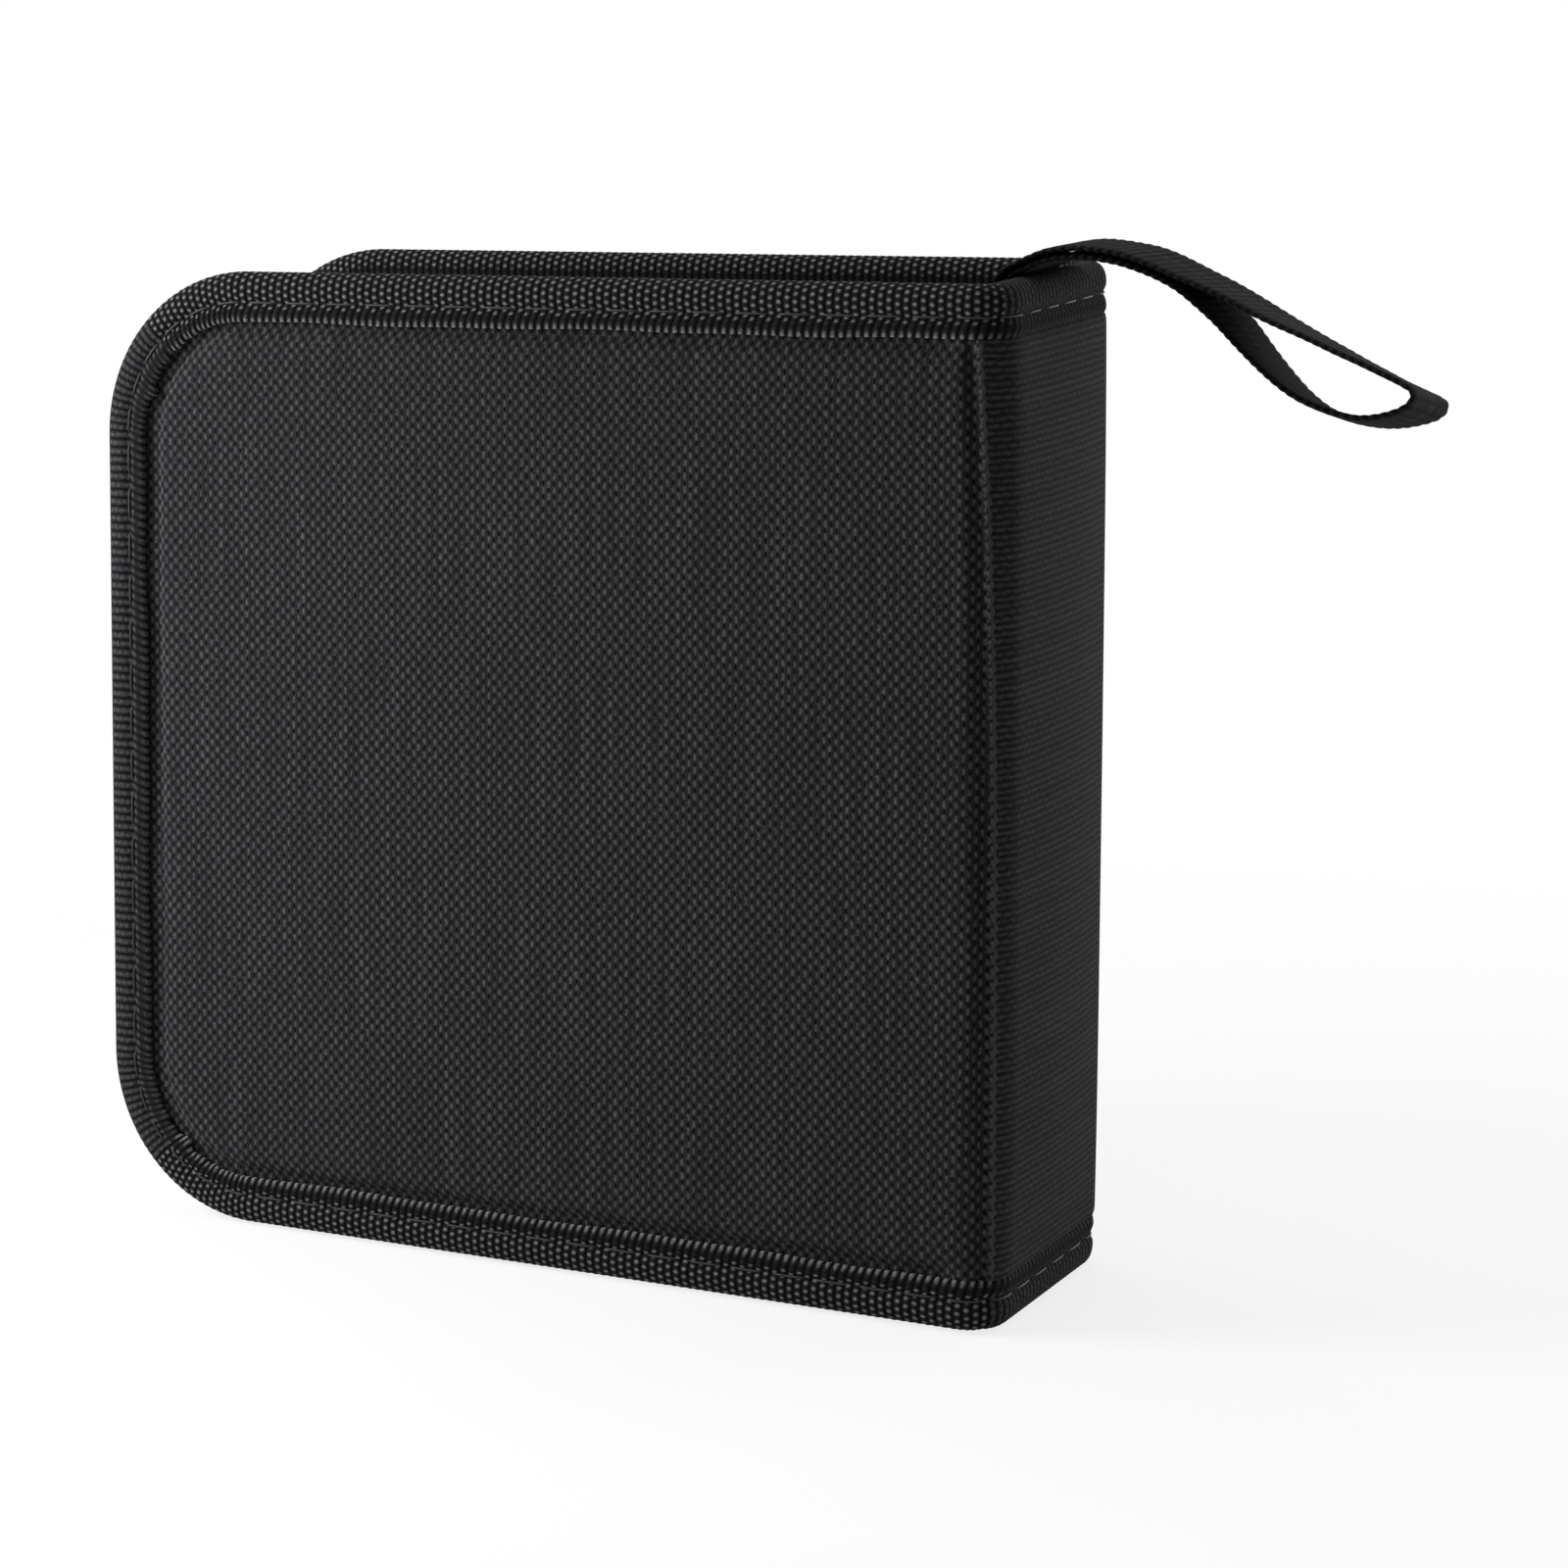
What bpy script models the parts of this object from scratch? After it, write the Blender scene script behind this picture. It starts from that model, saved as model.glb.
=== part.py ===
# Zip-round pocket case for discs, standing upright on its lower rim with the covers closed.
# Metres, +Z up. The spine faces +X, the front cover faces -Y and the back cover faces +Y.
# The origin is the middle of the flat that runs along the spine's lower rim.
# Each cover is laid out flat (along, up, depth) and then bent round the fold at the spine.
from math import cos, hypot, pi, radians, sin

import bpy
import bmesh
from mathutils import Vector

for item in list(bpy.data.objects):
    bpy.data.objects.remove(item, do_unlink=True)

# Overall sizes
CASE_LENGTH = 0.160        # fore-edge rim to the spine's outer face
CASE_THICKNESS = 0.047     # outer face of one cover to outer face of the other
FRONT_HEIGHT = 0.157
BACK_RISE = 0.0032         # the back cover is this much taller than the front one
FORE_RADIUS = 0.027        # rounded corners at the fore-edge
FOLD_RADIUS = 0.0068       # soft corner where a cover turns into the spine

# Gaps
CLEARANCE = 0.0003         # between pieces that lie on each other
FOLD_GAP = 0.00015         # each side of a fold

# Layers of a cover, from the outside in
TAPE_THICKNESS = 0.0009    # binding tape
RIM_CLOTH = 0.0010         # panel where it is sewn under the binding
CROWN = 0.0012             # how far the padded middle stands above the sewn edge
CROWN_RUN = 0.0160         # from the panel's edge to where it is full height
BOARD_THICKNESS = 0.0010
BOARD_SHORT = 0.0010       # a board stops this far before a fold
LINING_THICKNESS = 0.0005
BINDING_WIDTH = 0.0086     # tape showing on each face
STITCH_INSET = 0.0049      # stitch line from the rim
PUFF = 0.00015             # the tape's swelling between rim and stitches
GROOVE = 0.0005            # between the tape's edge and the padded panel
EDGE_INSET = 0.0021        # where the layers end inside the folded tape

# Zip
ZIP_INSET = 0.0095         # rim to the zip tape's upper face
ZIP_TAPE = 0.0009
ZIP_FOOT = 0.0060
ZIP_FOOT_THICKNESS = 0.0007
ROW_THICKNESS = 0.0028
ROW_TIP = 0.0008           # middle plane to the teeth's tips
ROW_ROOT = 0.0018
ROW_BACK = 0.0040
TOOTH_PITCH = 0.0040
ZIP_START = 0.0095         # from the spine's inner face to the zip's end
STOP_LENGTH = 0.0026
STOP_PROUD = 0.0001
TAIL_SPARE = 0.0020        # of the zip's loose tail beyond the parked slider
TAIL_WIDTH = 0.0120        # from the zip's middle plane to the tail's outer edge
TAB_LENGTH = 0.0064
TAB_THICKNESS = 0.0024
TAB_OVERHANG = 0.0080      # how far a tab reaches sideways past the zip rows
TAB_CORNER = 0.0030

# Slider and pull
SLIDER_LENGTH = 0.0130
SLIDER_PLATE = 0.0012
SLIDER_ROUND = 0.0006      # cut off its back corners
SLIDER_CHAMFER = 0.0012    # cut off its front corners
SLIDER_WALL = 0.0009
SLIDER_RUN = 0.0004        # running gap round the zip row
SLIDER_GAP = 0.0012        # between the parked slider and the end stops
POST_WIDTH = 0.0010
POST_LENGTH = 0.0045
BRIDGE_WIDTH = 0.0024
BRIDGE_BAR = 0.0010
BRIDGE_REACH = 0.0026
PULL_THICKNESS = 0.0016
PULL_BAR = 0.0012
PULL_HEADROOM = 0.0005     # over the pull, under the bridge's bar
PULL_PLAY = 0.0004         # between the eye's far end and the bridge as the pull swings
PULL_EYE_WIDTH = 0.0032
PULL_ARM = 0.0016
PULL_LENGTH = 0.0220
PULL_END_WIDTH = 0.0076

# Sleeves
LEAF_COUNT = 12
LEAF_PITCH = 0.0026
LEAF_THICKNESS = 0.0009
LEAF_LIFT = 0.0026         # lower edge of the leaves over the zip tape
LEAF_HEADROOM = 0.00105    # upper edge of the leaves under the slider
LEAF_FORE_ROOM = 0.0221    # fore-edge rim to the leaves' free edge
SPINE_BLOCK = 0.0028
STRIP_THICKNESS = 0.0010
STRIP_SHORT = 0.0020       # the strip ends this far inside the leaves' edges

# Hand strap
STRAP_WIDTH = 0.0210
STRAP_THICKNESS = 0.0010
STRAP_TAIL = 0.0065        # how far its ends reach down inside the rim
SELVEDGE = 0.0006          # width of its thinned edges

# Depths that follow from the layers, measured inward from the outer face
PANEL_OUT = TAPE_THICKNESS + CLEARANCE
PANEL_IN = PANEL_OUT + RIM_CLOTH
BOARD_OUT = PANEL_IN + CLEARANCE
BOARD_IN = BOARD_OUT + BOARD_THICKNESS
LINING_OUT = BOARD_IN + CLEARANCE
LINING_IN = LINING_OUT + LINING_THICKNESS
INNER_LEG = LINING_IN + CLEARANCE
RIM_DEPTH = INNER_LEG + TAPE_THICKNESS

HALF = CASE_THICKNESS / 2
SPINE_X = RIM_DEPTH / 2
FORE_X = SPINE_X - CASE_LENGTH
BEND_X = SPINE_X - FOLD_RADIUS
SPINE_FLAT = HALF - FOLD_RADIUS
QUARTER = FOLD_RADIUS * pi / 4
BACK_HEIGHT = FRONT_HEIGHT + BACK_RISE
INNER_X = SPINE_X - LINING_IN
PIVOT_REACH = (FOLD_RADIUS + 0.00035) * sin(pi / 4)
FRONT_PIVOT = Vector((BEND_X + PIVOT_REACH, -SPINE_FLAT - PIVOT_REACH, 0))
BACK_PIVOT = Vector((BEND_X + PIVOT_REACH, SPINE_FLAT + PIVOT_REACH, 0))
ZIP_END_X = SPINE_X - RIM_DEPTH - ZIP_START
ZIP_MID = ZIP_INSET + ZIP_TAPE / 2
ZIP_SEWN_X = ZIP_END_X - STOP_LENGTH - SLIDER_GAP - SLIDER_LENGTH - TAIL_SPARE
CORNER_X = FORE_X + FORE_RADIUS

# Colours, roughness and metallic values
CLOTH = ((0.040, 0.041, 0.043), 0.85, 0.0)
SPINE_CLOTH = ((0.033, 0.034, 0.036), 0.85, 0.0)
TAPE = ((0.050, 0.051, 0.053), 0.80, 0.0)
LINING = ((0.020, 0.020, 0.021), 0.75, 0.0)
BOARD = ((0.110, 0.100, 0.090), 0.90, 0.0)
ZIP_CLOTH = ((0.025, 0.025, 0.026), 0.80, 0.0)
ZIP_ROW = ((0.015, 0.015, 0.016), 0.45, 0.0)
METAL = ((0.090, 0.090, 0.095), 0.35, 1.0)
FILM = ((0.080, 0.082, 0.086), 0.30, 0.0)
WEBBING = ((0.060, 0.061, 0.064), 0.80, 0.0)


def finish(name, points, faces, look, origin=(0, 0, 0)):
    """Makes a named object from world points, with its own material and its origin at the given place."""
    colour, roughness, metallic = look
    origin = Vector(origin)
    mesh = bpy.data.meshes.new(name)
    mesh.from_pydata([Vector(p) - origin for p in points], [], faces)
    work = bmesh.new()
    work.from_mesh(mesh)
    bmesh.ops.recalc_face_normals(work, faces=work.faces)
    work.to_mesh(mesh)
    work.free()
    thing = bpy.data.objects.new(name, mesh)
    thing.location = origin
    bpy.context.scene.collection.objects.link(thing)
    material = bpy.data.materials.new(name)
    material.use_nodes = True
    shader = material.node_tree.nodes["Principled BSDF"]
    shader.inputs["Base Color"].default_value = (*colour, 1)
    shader.inputs["Roughness"].default_value = roughness
    shader.inputs["Metallic"].default_value = metallic
    mesh.materials.append(material)
    return thing


def loft(rings, folded=0):
    """Joins closed rings of equal length into a solid. A folded strip is capped by quads between its faces."""
    count = len(rings[0])
    points = [p for ring in rings for p in ring]
    faces = []
    for k in range(len(rings) - 1):
        for i in range(count):
            j = (i + 1) % count
            faces.append((k * count + i, k * count + j, (k + 1) * count + j, (k + 1) * count + i))
    for start in (0, (len(rings) - 1) * count):
        if folded:
            for i in range(folded - 1):
                faces.append((start + i, start + i + 1, start + count - 2 - i, start + count - 1 - i))
        else:
            faces.append(tuple(start + i for i in range(count)))
    return points, faces


def prism(outline, low, high):
    """A flat outline in the XY plane, raised from low to high."""
    return loft([[(x, y, z) for x, y in outline] for z in (low, high)])


def block(low, high):
    """A box between two corners."""
    outline = [(low[0], low[1]), (high[0], low[1]), (high[0], high[1]), (low[0], high[1])]
    return prism(outline, low[2], high[2])


def cover_point(x, z, depth, side):
    """Where a point of the flat cover lies once it is bent at the spine. Side is -1 in front, 1 at the back."""
    if x <= BEND_X:
        return (x, side * (HALF - depth), z)
    turn = (x - BEND_X) / FOLD_RADIUS
    reach = FOLD_RADIUS - depth
    slack = FOLD_GAP * turn / (pi / 4)
    px = BEND_X + reach * sin(turn) - slack * cos(turn)
    py = -SPINE_FLAT - reach * cos(turn) - slack * sin(turn)
    return (px, -side * py, z)


def spine_point(t, z, depth):
    """Where a point of the flat spine lies once both of its edges are bent. t runs from front to back."""
    over = abs(t) - SPINE_FLAT
    if over <= 0:
        return (SPINE_X - depth, t, z)
    sign = 1 if t > 0 else -1
    turn = over / FOLD_RADIUS
    reach = FOLD_RADIUS - depth
    slack = FOLD_GAP * turn / (pi / 4)
    px = BEND_X + reach * cos(turn) + slack * sin(turn)
    py = SPINE_FLAT + reach * sin(turn) - slack * cos(turn)
    return (px, sign * py, z)


BEND_STEPS = 4
ARC_STEPS = 9
TO_FOLD = [BEND_X + QUARTER * i / BEND_STEPS for i in range(BEND_STEPS, -1, -1)] + [CORNER_X]
TO_BOARD = [BEND_X - BOARD_SHORT, CORNER_X]
TO_ZIP_END = [ZIP_SEWN_X - 2 * CLEARANCE, CORNER_X]


def rim_path(inset, height, runs):
    """Flat points of a cover's outline, set in from the rim, from the bottom run round to the top run."""
    radius = FORE_RADIUS - inset
    left = FORE_X + inset
    turns = [pi / 2 * i / ARC_STEPS for i in range(1, ARC_STEPS + 1)]
    low = [(x, inset) for x in runs]
    low += [(left + radius * (1 - sin(a)), inset + radius * (1 - cos(a))) for a in turns]
    return low + [(x, height - z) for x, z in reversed(low)]


def layer(rings, height, runs, side):
    """A sheet of the cover. Rings are (inset, depth) pairs from the middle of one face to the other."""
    shells = [[cover_point(x, z, d, side) for x, z in rim_path(e, height, runs)] for e, d in rings]
    count = len(shells[0])
    last = (len(shells) - 1) * count
    points = [p for shell in shells for p in shell]
    faces = []
    for k in range(len(shells) - 1):
        for i in range(count - 1):
            a = k * count + i
            faces.append((a, a + 1, a + 1 + count, a + count))
    for start in (0, last):
        for i in range(count // 2 - 1):
            faces.append((start + i, start + i + 1, start + count - 2 - i, start + count - 1 - i))
    low_end = [k * count for k in range(len(shells))]
    high_end = [k * count + count - 1 for k in range(len(shells))]
    faces.append(tuple(low_end + high_end[::-1]))
    return points, faces


def swept(profile, height, runs, side, folded=0):
    """Carries a closed (inset, depth) profile along the cover's outline."""
    paths = [rim_path(e, height, runs) for e, _ in profile]
    rings = []
    for i in range(len(paths[0])):
        rings.append([cover_point(*path[i], d, side) for path, (_, d) in zip(paths, profile)])
    return loft(rings, folded)


def spine_height(t):
    """The spine's rim slopes from the front cover's height to the back cover's."""
    return FRONT_HEIGHT + BACK_RISE * (t + SPINE_FLAT + QUARTER) / (2 * (SPINE_FLAT + QUARTER))


SPINE_BENDS = [SPINE_FLAT + QUARTER * i / BEND_STEPS for i in range(BEND_STEPS, -1, -1)]
SPINE_STATIONS = [-t for t in SPINE_BENDS] + SPINE_BENDS[::-1]
SPINE_FLAT_STATIONS = [-SPINE_FLAT + BOARD_SHORT, SPINE_FLAT - BOARD_SHORT]


def spine_layer(rings, stations):
    """A sheet of the spine, from the same (inset, depth) pairs as a cover's sheet."""
    loops = []
    for t in stations:
        low = [spine_point(t, e, d) for e, d in rings]
        high = [spine_point(t, spine_height(t) - e, d) for e, d in reversed(rings)]
        loops.append(low + high)
    return loft(loops)


def spine_swept(profile, stations, top, folded=0):
    """Carries a closed (inset, depth) profile across the spine, along its upper or lower rim."""
    loops = []
    for t in stations:
        loops.append([spine_point(t, spine_height(t) - e if top else e, d) for e, d in profile])
    return loft(loops, folded)


# Profiles, as (inset from the rim, depth from the outer face)
def folded_tape():
    """A tape folded over the rim, with a flat to stand on, a swelling and a dent at the stitches."""
    mid = RIM_DEPTH / 2
    skin = TAPE_THICKNESS
    half_outer = [
        (BINDING_WIDTH, 0.25 * skin),
        (0.5 * (BINDING_WIDTH + STITCH_INSET), 0.0),
        (STITCH_INSET, 0.22 * skin),
        (0.75 * STITCH_INSET, -PUFF),
        (0.45 * STITCH_INSET, -0.5 * PUFF),
        (0.20 * STITCH_INSET, 0.6 * skin),
        (0.05 * STITCH_INSET, 0.5 * mid),
        (0.0, 0.75 * mid),
    ]
    half_inner = [
        (BINDING_WIDTH, skin),
        (0.5 * (BINDING_WIDTH + STITCH_INSET), skin),
        (STITCH_INSET, skin),
        (0.75 * STITCH_INSET, skin),
        (0.45 * STITCH_INSET, skin),
        (0.33 * STITCH_INSET, 1.3 * skin),
        (0.22 * STITCH_INSET, 0.7 * mid),
        (0.19 * STITCH_INSET, 0.85 * mid),
    ]
    outer = half_outer + [(e, RIM_DEPTH - d) for e, d in reversed(half_outer)]
    inner = half_inner + [(e, RIM_DEPTH - d) for e, d in reversed(half_inner)]
    return outer + inner[::-1], len(outer)


PANEL_EDGE = BINDING_WIDTH + GROOVE
PANEL_RINGS = [
    (PANEL_EDGE + CROWN_RUN, PANEL_OUT - 1.25 * CROWN),
    (PANEL_EDGE + CROWN_RUN / 2, PANEL_OUT - 1.08 * CROWN),
    (PANEL_EDGE + CROWN_RUN * 3 / 16, PANEL_OUT - 0.92 * CROWN),
    (PANEL_EDGE + CROWN_RUN / 16, PANEL_OUT - 0.67 * CROWN),
    (PANEL_EDGE + CROWN_RUN / 80, PANEL_OUT - 0.25 * CROWN),
    (PANEL_EDGE, PANEL_OUT),
    (EDGE_INSET, PANEL_OUT),
    (EDGE_INSET, PANEL_IN),
]
BOARD_RINGS = [(EDGE_INSET, BOARD_OUT), (EDGE_INSET, BOARD_IN)]
LINING_RINGS = [(EDGE_INSET, LINING_OUT), (EDGE_INSET, LINING_IN)]
BINDING_PROFILE, BINDING_POINTS = folded_tape()
ROW_TAIL = HALF - ROW_BACK
ZIP_TAPE_PROFILE = [
    (ZIP_INSET, LINING_IN + CLEARANCE),
    (ZIP_INSET + ZIP_FOOT, LINING_IN + CLEARANCE),
    (ZIP_INSET + ZIP_FOOT, LINING_IN + CLEARANCE + ZIP_FOOT_THICKNESS),
    (ZIP_INSET + ZIP_TAPE, LINING_IN + CLEARANCE + ZIP_FOOT_THICKNESS),
    (ZIP_INSET + ZIP_TAPE, ROW_TAIL - CLEARANCE),
    (ZIP_INSET, ROW_TAIL - CLEARANCE),
]


def zip_row(side):
    """One row of teeth along the zip tape's free edge, as a strip with a toothed inner edge."""
    start_x = ZIP_SEWN_X - 2 * CLEARANCE
    low_inset = ZIP_MID - ROW_THICKNESS / 2
    high_inset = ZIP_MID + ROW_THICKNESS / 2
    straight = start_x - CORNER_X
    radius = FORE_RADIUS - ZIP_MID
    arc = radius * pi / 2
    fore = FRONT_HEIGHT - 2 * FORE_RADIUS
    total = 2 * straight + 2 * arc + fore
    teeth = round(total / TOOTH_PITCH)
    rings = []
    for k in range(2 * teeth + 1):
        tip = ROW_TIP if k % 2 else ROW_ROOT
        ring = []
        section = ((low_inset, ROW_BACK), (low_inset, tip), (high_inset, tip), (high_inset, ROW_BACK))
        for inset, reach in section:
            along = total * k / (2 * teeth)
            ring.append(zip_place(along, inset, reach, side, start_x, straight, arc, fore))
        rings.append(ring)
    return loft(rings)


def zip_place(along, inset, reach, side, start_x, straight, arc, fore):
    """A point at a given length along the zip's path, from the bottom run's end to the top run's end."""
    left = FORE_X + inset
    radius = FORE_RADIUS - inset
    total = 2 * straight + 2 * arc + fore
    flipped = along > total / 2
    if flipped:
        along = total - along
    if along <= straight:
        x, z = start_x - along, inset
    elif along <= straight + arc:
        turn = (along - straight) / arc * pi / 2
        x, z = left + radius * (1 - sin(turn)), inset + radius * (1 - cos(turn))
    else:
        x, z = left, FORE_RADIUS + along - straight - arc
    if flipped:
        z = FRONT_HEIGHT - z
    return (x, side * reach, z)


def merge(name, solids, look, origin):
    """Joins overlapping solids into one piece."""
    first = finish(name, *solids[0], look, origin)
    for k, solid in enumerate(solids[1:]):
        cutter = finish(name + "_add", *solid, look, origin)
        cutter.hide_render = True
        cutter.display_type = "WIRE"
        change = first.modifiers.new("join " + str(k), "BOOLEAN")
        change.operation = "UNION"
        change.solver = "EXACT"
        change.object = cutter
        bpy.context.view_layer.update()
        shape = bpy.data.meshes.new_from_object(first.evaluated_get(bpy.context.evaluated_depsgraph_get()))
        first.modifiers.remove(change)
        first.data = shape
        bpy.data.objects.remove(cutter, do_unlink=True)
    first.data.name = name
    return first


# Covers
def cover(word, side, height, pivot):
    """One cover: panel, board, lining, binding, zip tape and zip row."""
    finish(word + "_panel", *layer(PANEL_RINGS, height, TO_FOLD, side), CLOTH, pivot)
    finish(word + "_board", *layer(BOARD_RINGS, height, TO_BOARD, side), BOARD, pivot)
    finish(word + "_lining", *layer(LINING_RINGS, height, TO_FOLD, side), LINING, pivot)
    binding = swept(BINDING_PROFILE, height, TO_FOLD, side, BINDING_POINTS)
    finish(word + "_binding", *binding, TAPE, pivot)
    tape = swept(ZIP_TAPE_PROFILE, FRONT_HEIGHT, TO_ZIP_END, side)
    finish(word + "_zip_tape", *tape, ZIP_CLOTH, pivot)
    finish(word + "_zip_row", *zip_row(side), ZIP_ROW, pivot)


cover("front", -1, FRONT_HEIGHT, FRONT_PIVOT)
cover("back", 1, BACK_HEIGHT, BACK_PIVOT)

# Spine
finish("spine_panel", *spine_layer(PANEL_RINGS, SPINE_STATIONS), SPINE_CLOTH)
finish("spine_board", *spine_layer(BOARD_RINGS, SPINE_FLAT_STATIONS), BOARD)
finish("spine_lining", *spine_layer(LINING_RINGS, SPINE_STATIONS), LINING)
for end in ("top", "bottom"):
    tape = spine_swept(BINDING_PROFILE, SPINE_STATIONS, end == "top", BINDING_POINTS)
    finish("spine_binding_" + end, *tape, TAPE)

# Zip end tabs, sewn on the spine's lining level with the zip
TAB_HALF = ROW_BACK + TAB_OVERHANG
TAB_FAR = INNER_X - CLEARANCE - (RIM_DEPTH - LINING_IN)
for end, level in (("top", FRONT_HEIGHT - ZIP_MID), ("bottom", ZIP_MID)):
    shape = [
        (TAB_FAR, -TAB_HALF),
        (TAB_FAR, TAB_HALF),
        (TAB_FAR - TAB_LENGTH * 0.6, TAB_HALF),
        (TAB_FAR - TAB_LENGTH, TAB_HALF - TAB_CORNER),
        (TAB_FAR - TAB_LENGTH, -TAB_HALF + TAB_CORNER),
        (TAB_FAR - TAB_LENGTH * 0.6, -TAB_HALF),
    ]
    tab = prism(shape, level - TAB_THICKNESS / 2, level + TAB_THICKNESS / 2)
    finish("zip_tab_" + end, *tab, TAPE)


def zip_tail(side, level):
    """The zip's loose end at the spine, not sewn to a cover: tape with teeth along its inner edge."""
    first = ZIP_END_X - STOP_LENGTH - CLEARANCE
    teeth = round((first - ZIP_SEWN_X) / TOOTH_PITCH)
    rings = []
    for k in range(2 * teeth + 1):
        tip = ROW_TIP if k % 2 else ROW_ROOT
        x = first + (ZIP_SEWN_X - first) * k / (2 * teeth)
        corners = ((-1, tip), (-1, ROW_BACK), (1, ROW_BACK), (1, tip))
        rings.append([(x, side * reach, level + up * ROW_THICKNESS / 2) for up, reach in corners])
    near = side * (ROW_BACK - CLEARANCE)
    beside_stop = side * (ROW_BACK + CLEARANCE)
    far = side * TAIL_WIDTH
    back = TAB_FAR - TAB_LENGTH - CLEARANCE
    shape = [
        (ZIP_SEWN_X, near), (first, near), (first, beside_stop),
        (back, beside_stop), (back, far), (ZIP_SEWN_X, far),
    ]
    return [loft(rings), prism(shape, level - ZIP_TAPE / 2, level + ZIP_TAPE / 2)]


for word, side in (("front", -1), ("back", 1)):
    for end, level in (("top", FRONT_HEIGHT - ZIP_MID), ("bottom", ZIP_MID)):
        merge(word + "_zip_tail_" + end, zip_tail(side, level), ZIP_CLOTH, (0, 0, 0))
        near = sorted((side * ROW_TIP, side * ROW_BACK))
        low = (ZIP_END_X - STOP_LENGTH, near[0], level - ROW_THICKNESS / 2 - STOP_PROUD)
        high = (ZIP_END_X, near[1], level + ROW_THICKNESS / 2 + STOP_PROUD)
        finish(word + "_zip_stop_" + end, *block(low, high), METAL)

# Sleeves, and the strip that they are sewn to
STRIP_X = INNER_X - CLEARANCE
STRIP_HALF = LEAF_COUNT * LEAF_PITCH / 2
LEAF_FLOOR = ZIP_INSET + ZIP_TAPE + LEAF_LIFT
SLIDER_UNDERSIDE = FRONT_HEIGHT - ZIP_MID - ROW_THICKNESS / 2 - SLIDER_RUN - SLIDER_PLATE
LEAF_TOP = SLIDER_UNDERSIDE - LEAF_HEADROOM
strip_low = (STRIP_X - STRIP_THICKNESS, -STRIP_HALF, LEAF_FLOOR + STRIP_SHORT)
strip_high = (STRIP_X, STRIP_HALF, LEAF_TOP - STRIP_SHORT)
finish("sleeve_strip", *block(strip_low, strip_high), LINING)


def comb_outline():
    """Leaves standing side by side on a common block, seen from above."""
    back = STRIP_X - STRIP_THICKNESS - CLEARANCE
    root = back - SPINE_BLOCK
    tip = FORE_X + LEAF_FORE_ROOM
    half = LEAF_THICKNESS / 2
    outline = [(back, -STRIP_HALF), (back, STRIP_HALF)]
    for k in range(LEAF_COUNT - 1, -1, -1):
        y = (k - (LEAF_COUNT - 1) / 2) * LEAF_PITCH
        first = STRIP_HALF if k == LEAF_COUNT - 1 else y + half
        last = -STRIP_HALF if k == 0 else y - half
        outline += [(root, first)]
        if first != y + half:
            outline += [(root, y + half)]
        outline += [(tip, y + half), (tip, y - half), (root, y - half)]
        if last != y - half:
            outline += [(root, last)]
    return outline


finish("sleeve_pages", *prism(comb_outline(), LEAF_FLOOR, LEAF_TOP), FILM)

# Hand strap: one strip of webbing folded to a loop, both ends sewn inside the spine's rim
# Its points are (distance from the rim, height over the rim, slope across the strap)
SPINE_RIM_TOP = spine_height(0.0)
RIM_SLOPE = BACK_RISE / (2 * (SPINE_FLAT + QUARTER))
LOWER_PLY = [
    (0.0005, 0.0014, 0.072), (0.0030, 0.0023, 0.062), (0.0060, 0.0027, 0.050),
    (0.0090, 0.0027, 0.038), (0.0120, 0.00235, 0.030), (0.0150, 0.0018, 0.028),
    (0.0180, 0.00085, 0.022), (0.0210, -0.0004, 0.012), (0.0240, -0.00205, 0.002),
    (0.0270, -0.0044, -0.008), (0.0300, -0.0072, -0.035), (0.0330, -0.0106, -0.080),
    (0.0360, -0.0138, -0.120), (0.0390, -0.0166, -0.150), (0.0420, -0.0187, -0.160),
    (0.0450, -0.0200, -0.155), (0.0480, -0.0208, -0.138), (0.0510, -0.0212, -0.120),
    (0.0540, -0.0210, -0.115), (0.0568, -0.0203, -0.120),
]
TIP_BEND = [
    (0.0584, -0.0196, -0.128), (0.0593, -0.0188, -0.133), (0.0596, -0.0180, -0.137),
    (0.0594, -0.0173, -0.142), (0.0587, -0.0168, -0.148),
]
UPPER_PLY = [
    (0.0570, -0.0160, -0.158), (0.0540, -0.0147, -0.162), (0.0510, -0.0133, -0.152),
    (0.0480, -0.01195, -0.138), (0.0450, -0.0105, -0.124), (0.0420, -0.0091, -0.108),
    (0.0390, -0.0077, -0.085), (0.0360, -0.0062, -0.064), (0.0330, -0.0046, -0.050),
    (0.0300, -0.00305, -0.035), (0.0270, -0.00165, -0.015), (0.0240, -0.0004, 0.000),
    (0.0210, 0.0009, 0.012), (0.0180, 0.00215, 0.022), (0.0150, 0.0031, 0.028),
    (0.0120, 0.00365, 0.030), (0.0090, 0.0040, 0.038), (0.0060, 0.00405, 0.050),
    (0.0030, 0.0036, 0.062), (0.0006, 0.0028, 0.072),
]
RIM_LEAVING = 115          # degrees round the rolled rim at which the strap leaves it


def over_rim(radius):
    """The strap from its sewn end up and part of the way over the spine's rolled rim."""
    middle = -RIM_DEPTH / 2
    run = [(-radius, middle - STRAP_TAIL + STRAP_TAIL / 2 * i, RIM_SLOPE) for i in range(2)]
    turns = [radians(180 - (180 - RIM_LEAVING) * i / 5) for i in range(6)]
    return run + [(radius * cos(a), middle + radius * sin(a), RIM_SLOPE) for a in turns]


def strap_line():
    """The strap's centreline from one sewn end to the other."""
    inner = RIM_DEPTH / 2 + CLEARANCE + STRAP_THICKNESS / 2
    outer = inner + STRAP_THICKNESS + CLEARANCE
    return over_rim(inner) + LOWER_PLY + TIP_BEND + UPPER_PLY + over_rim(outer)[::-1]


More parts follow.
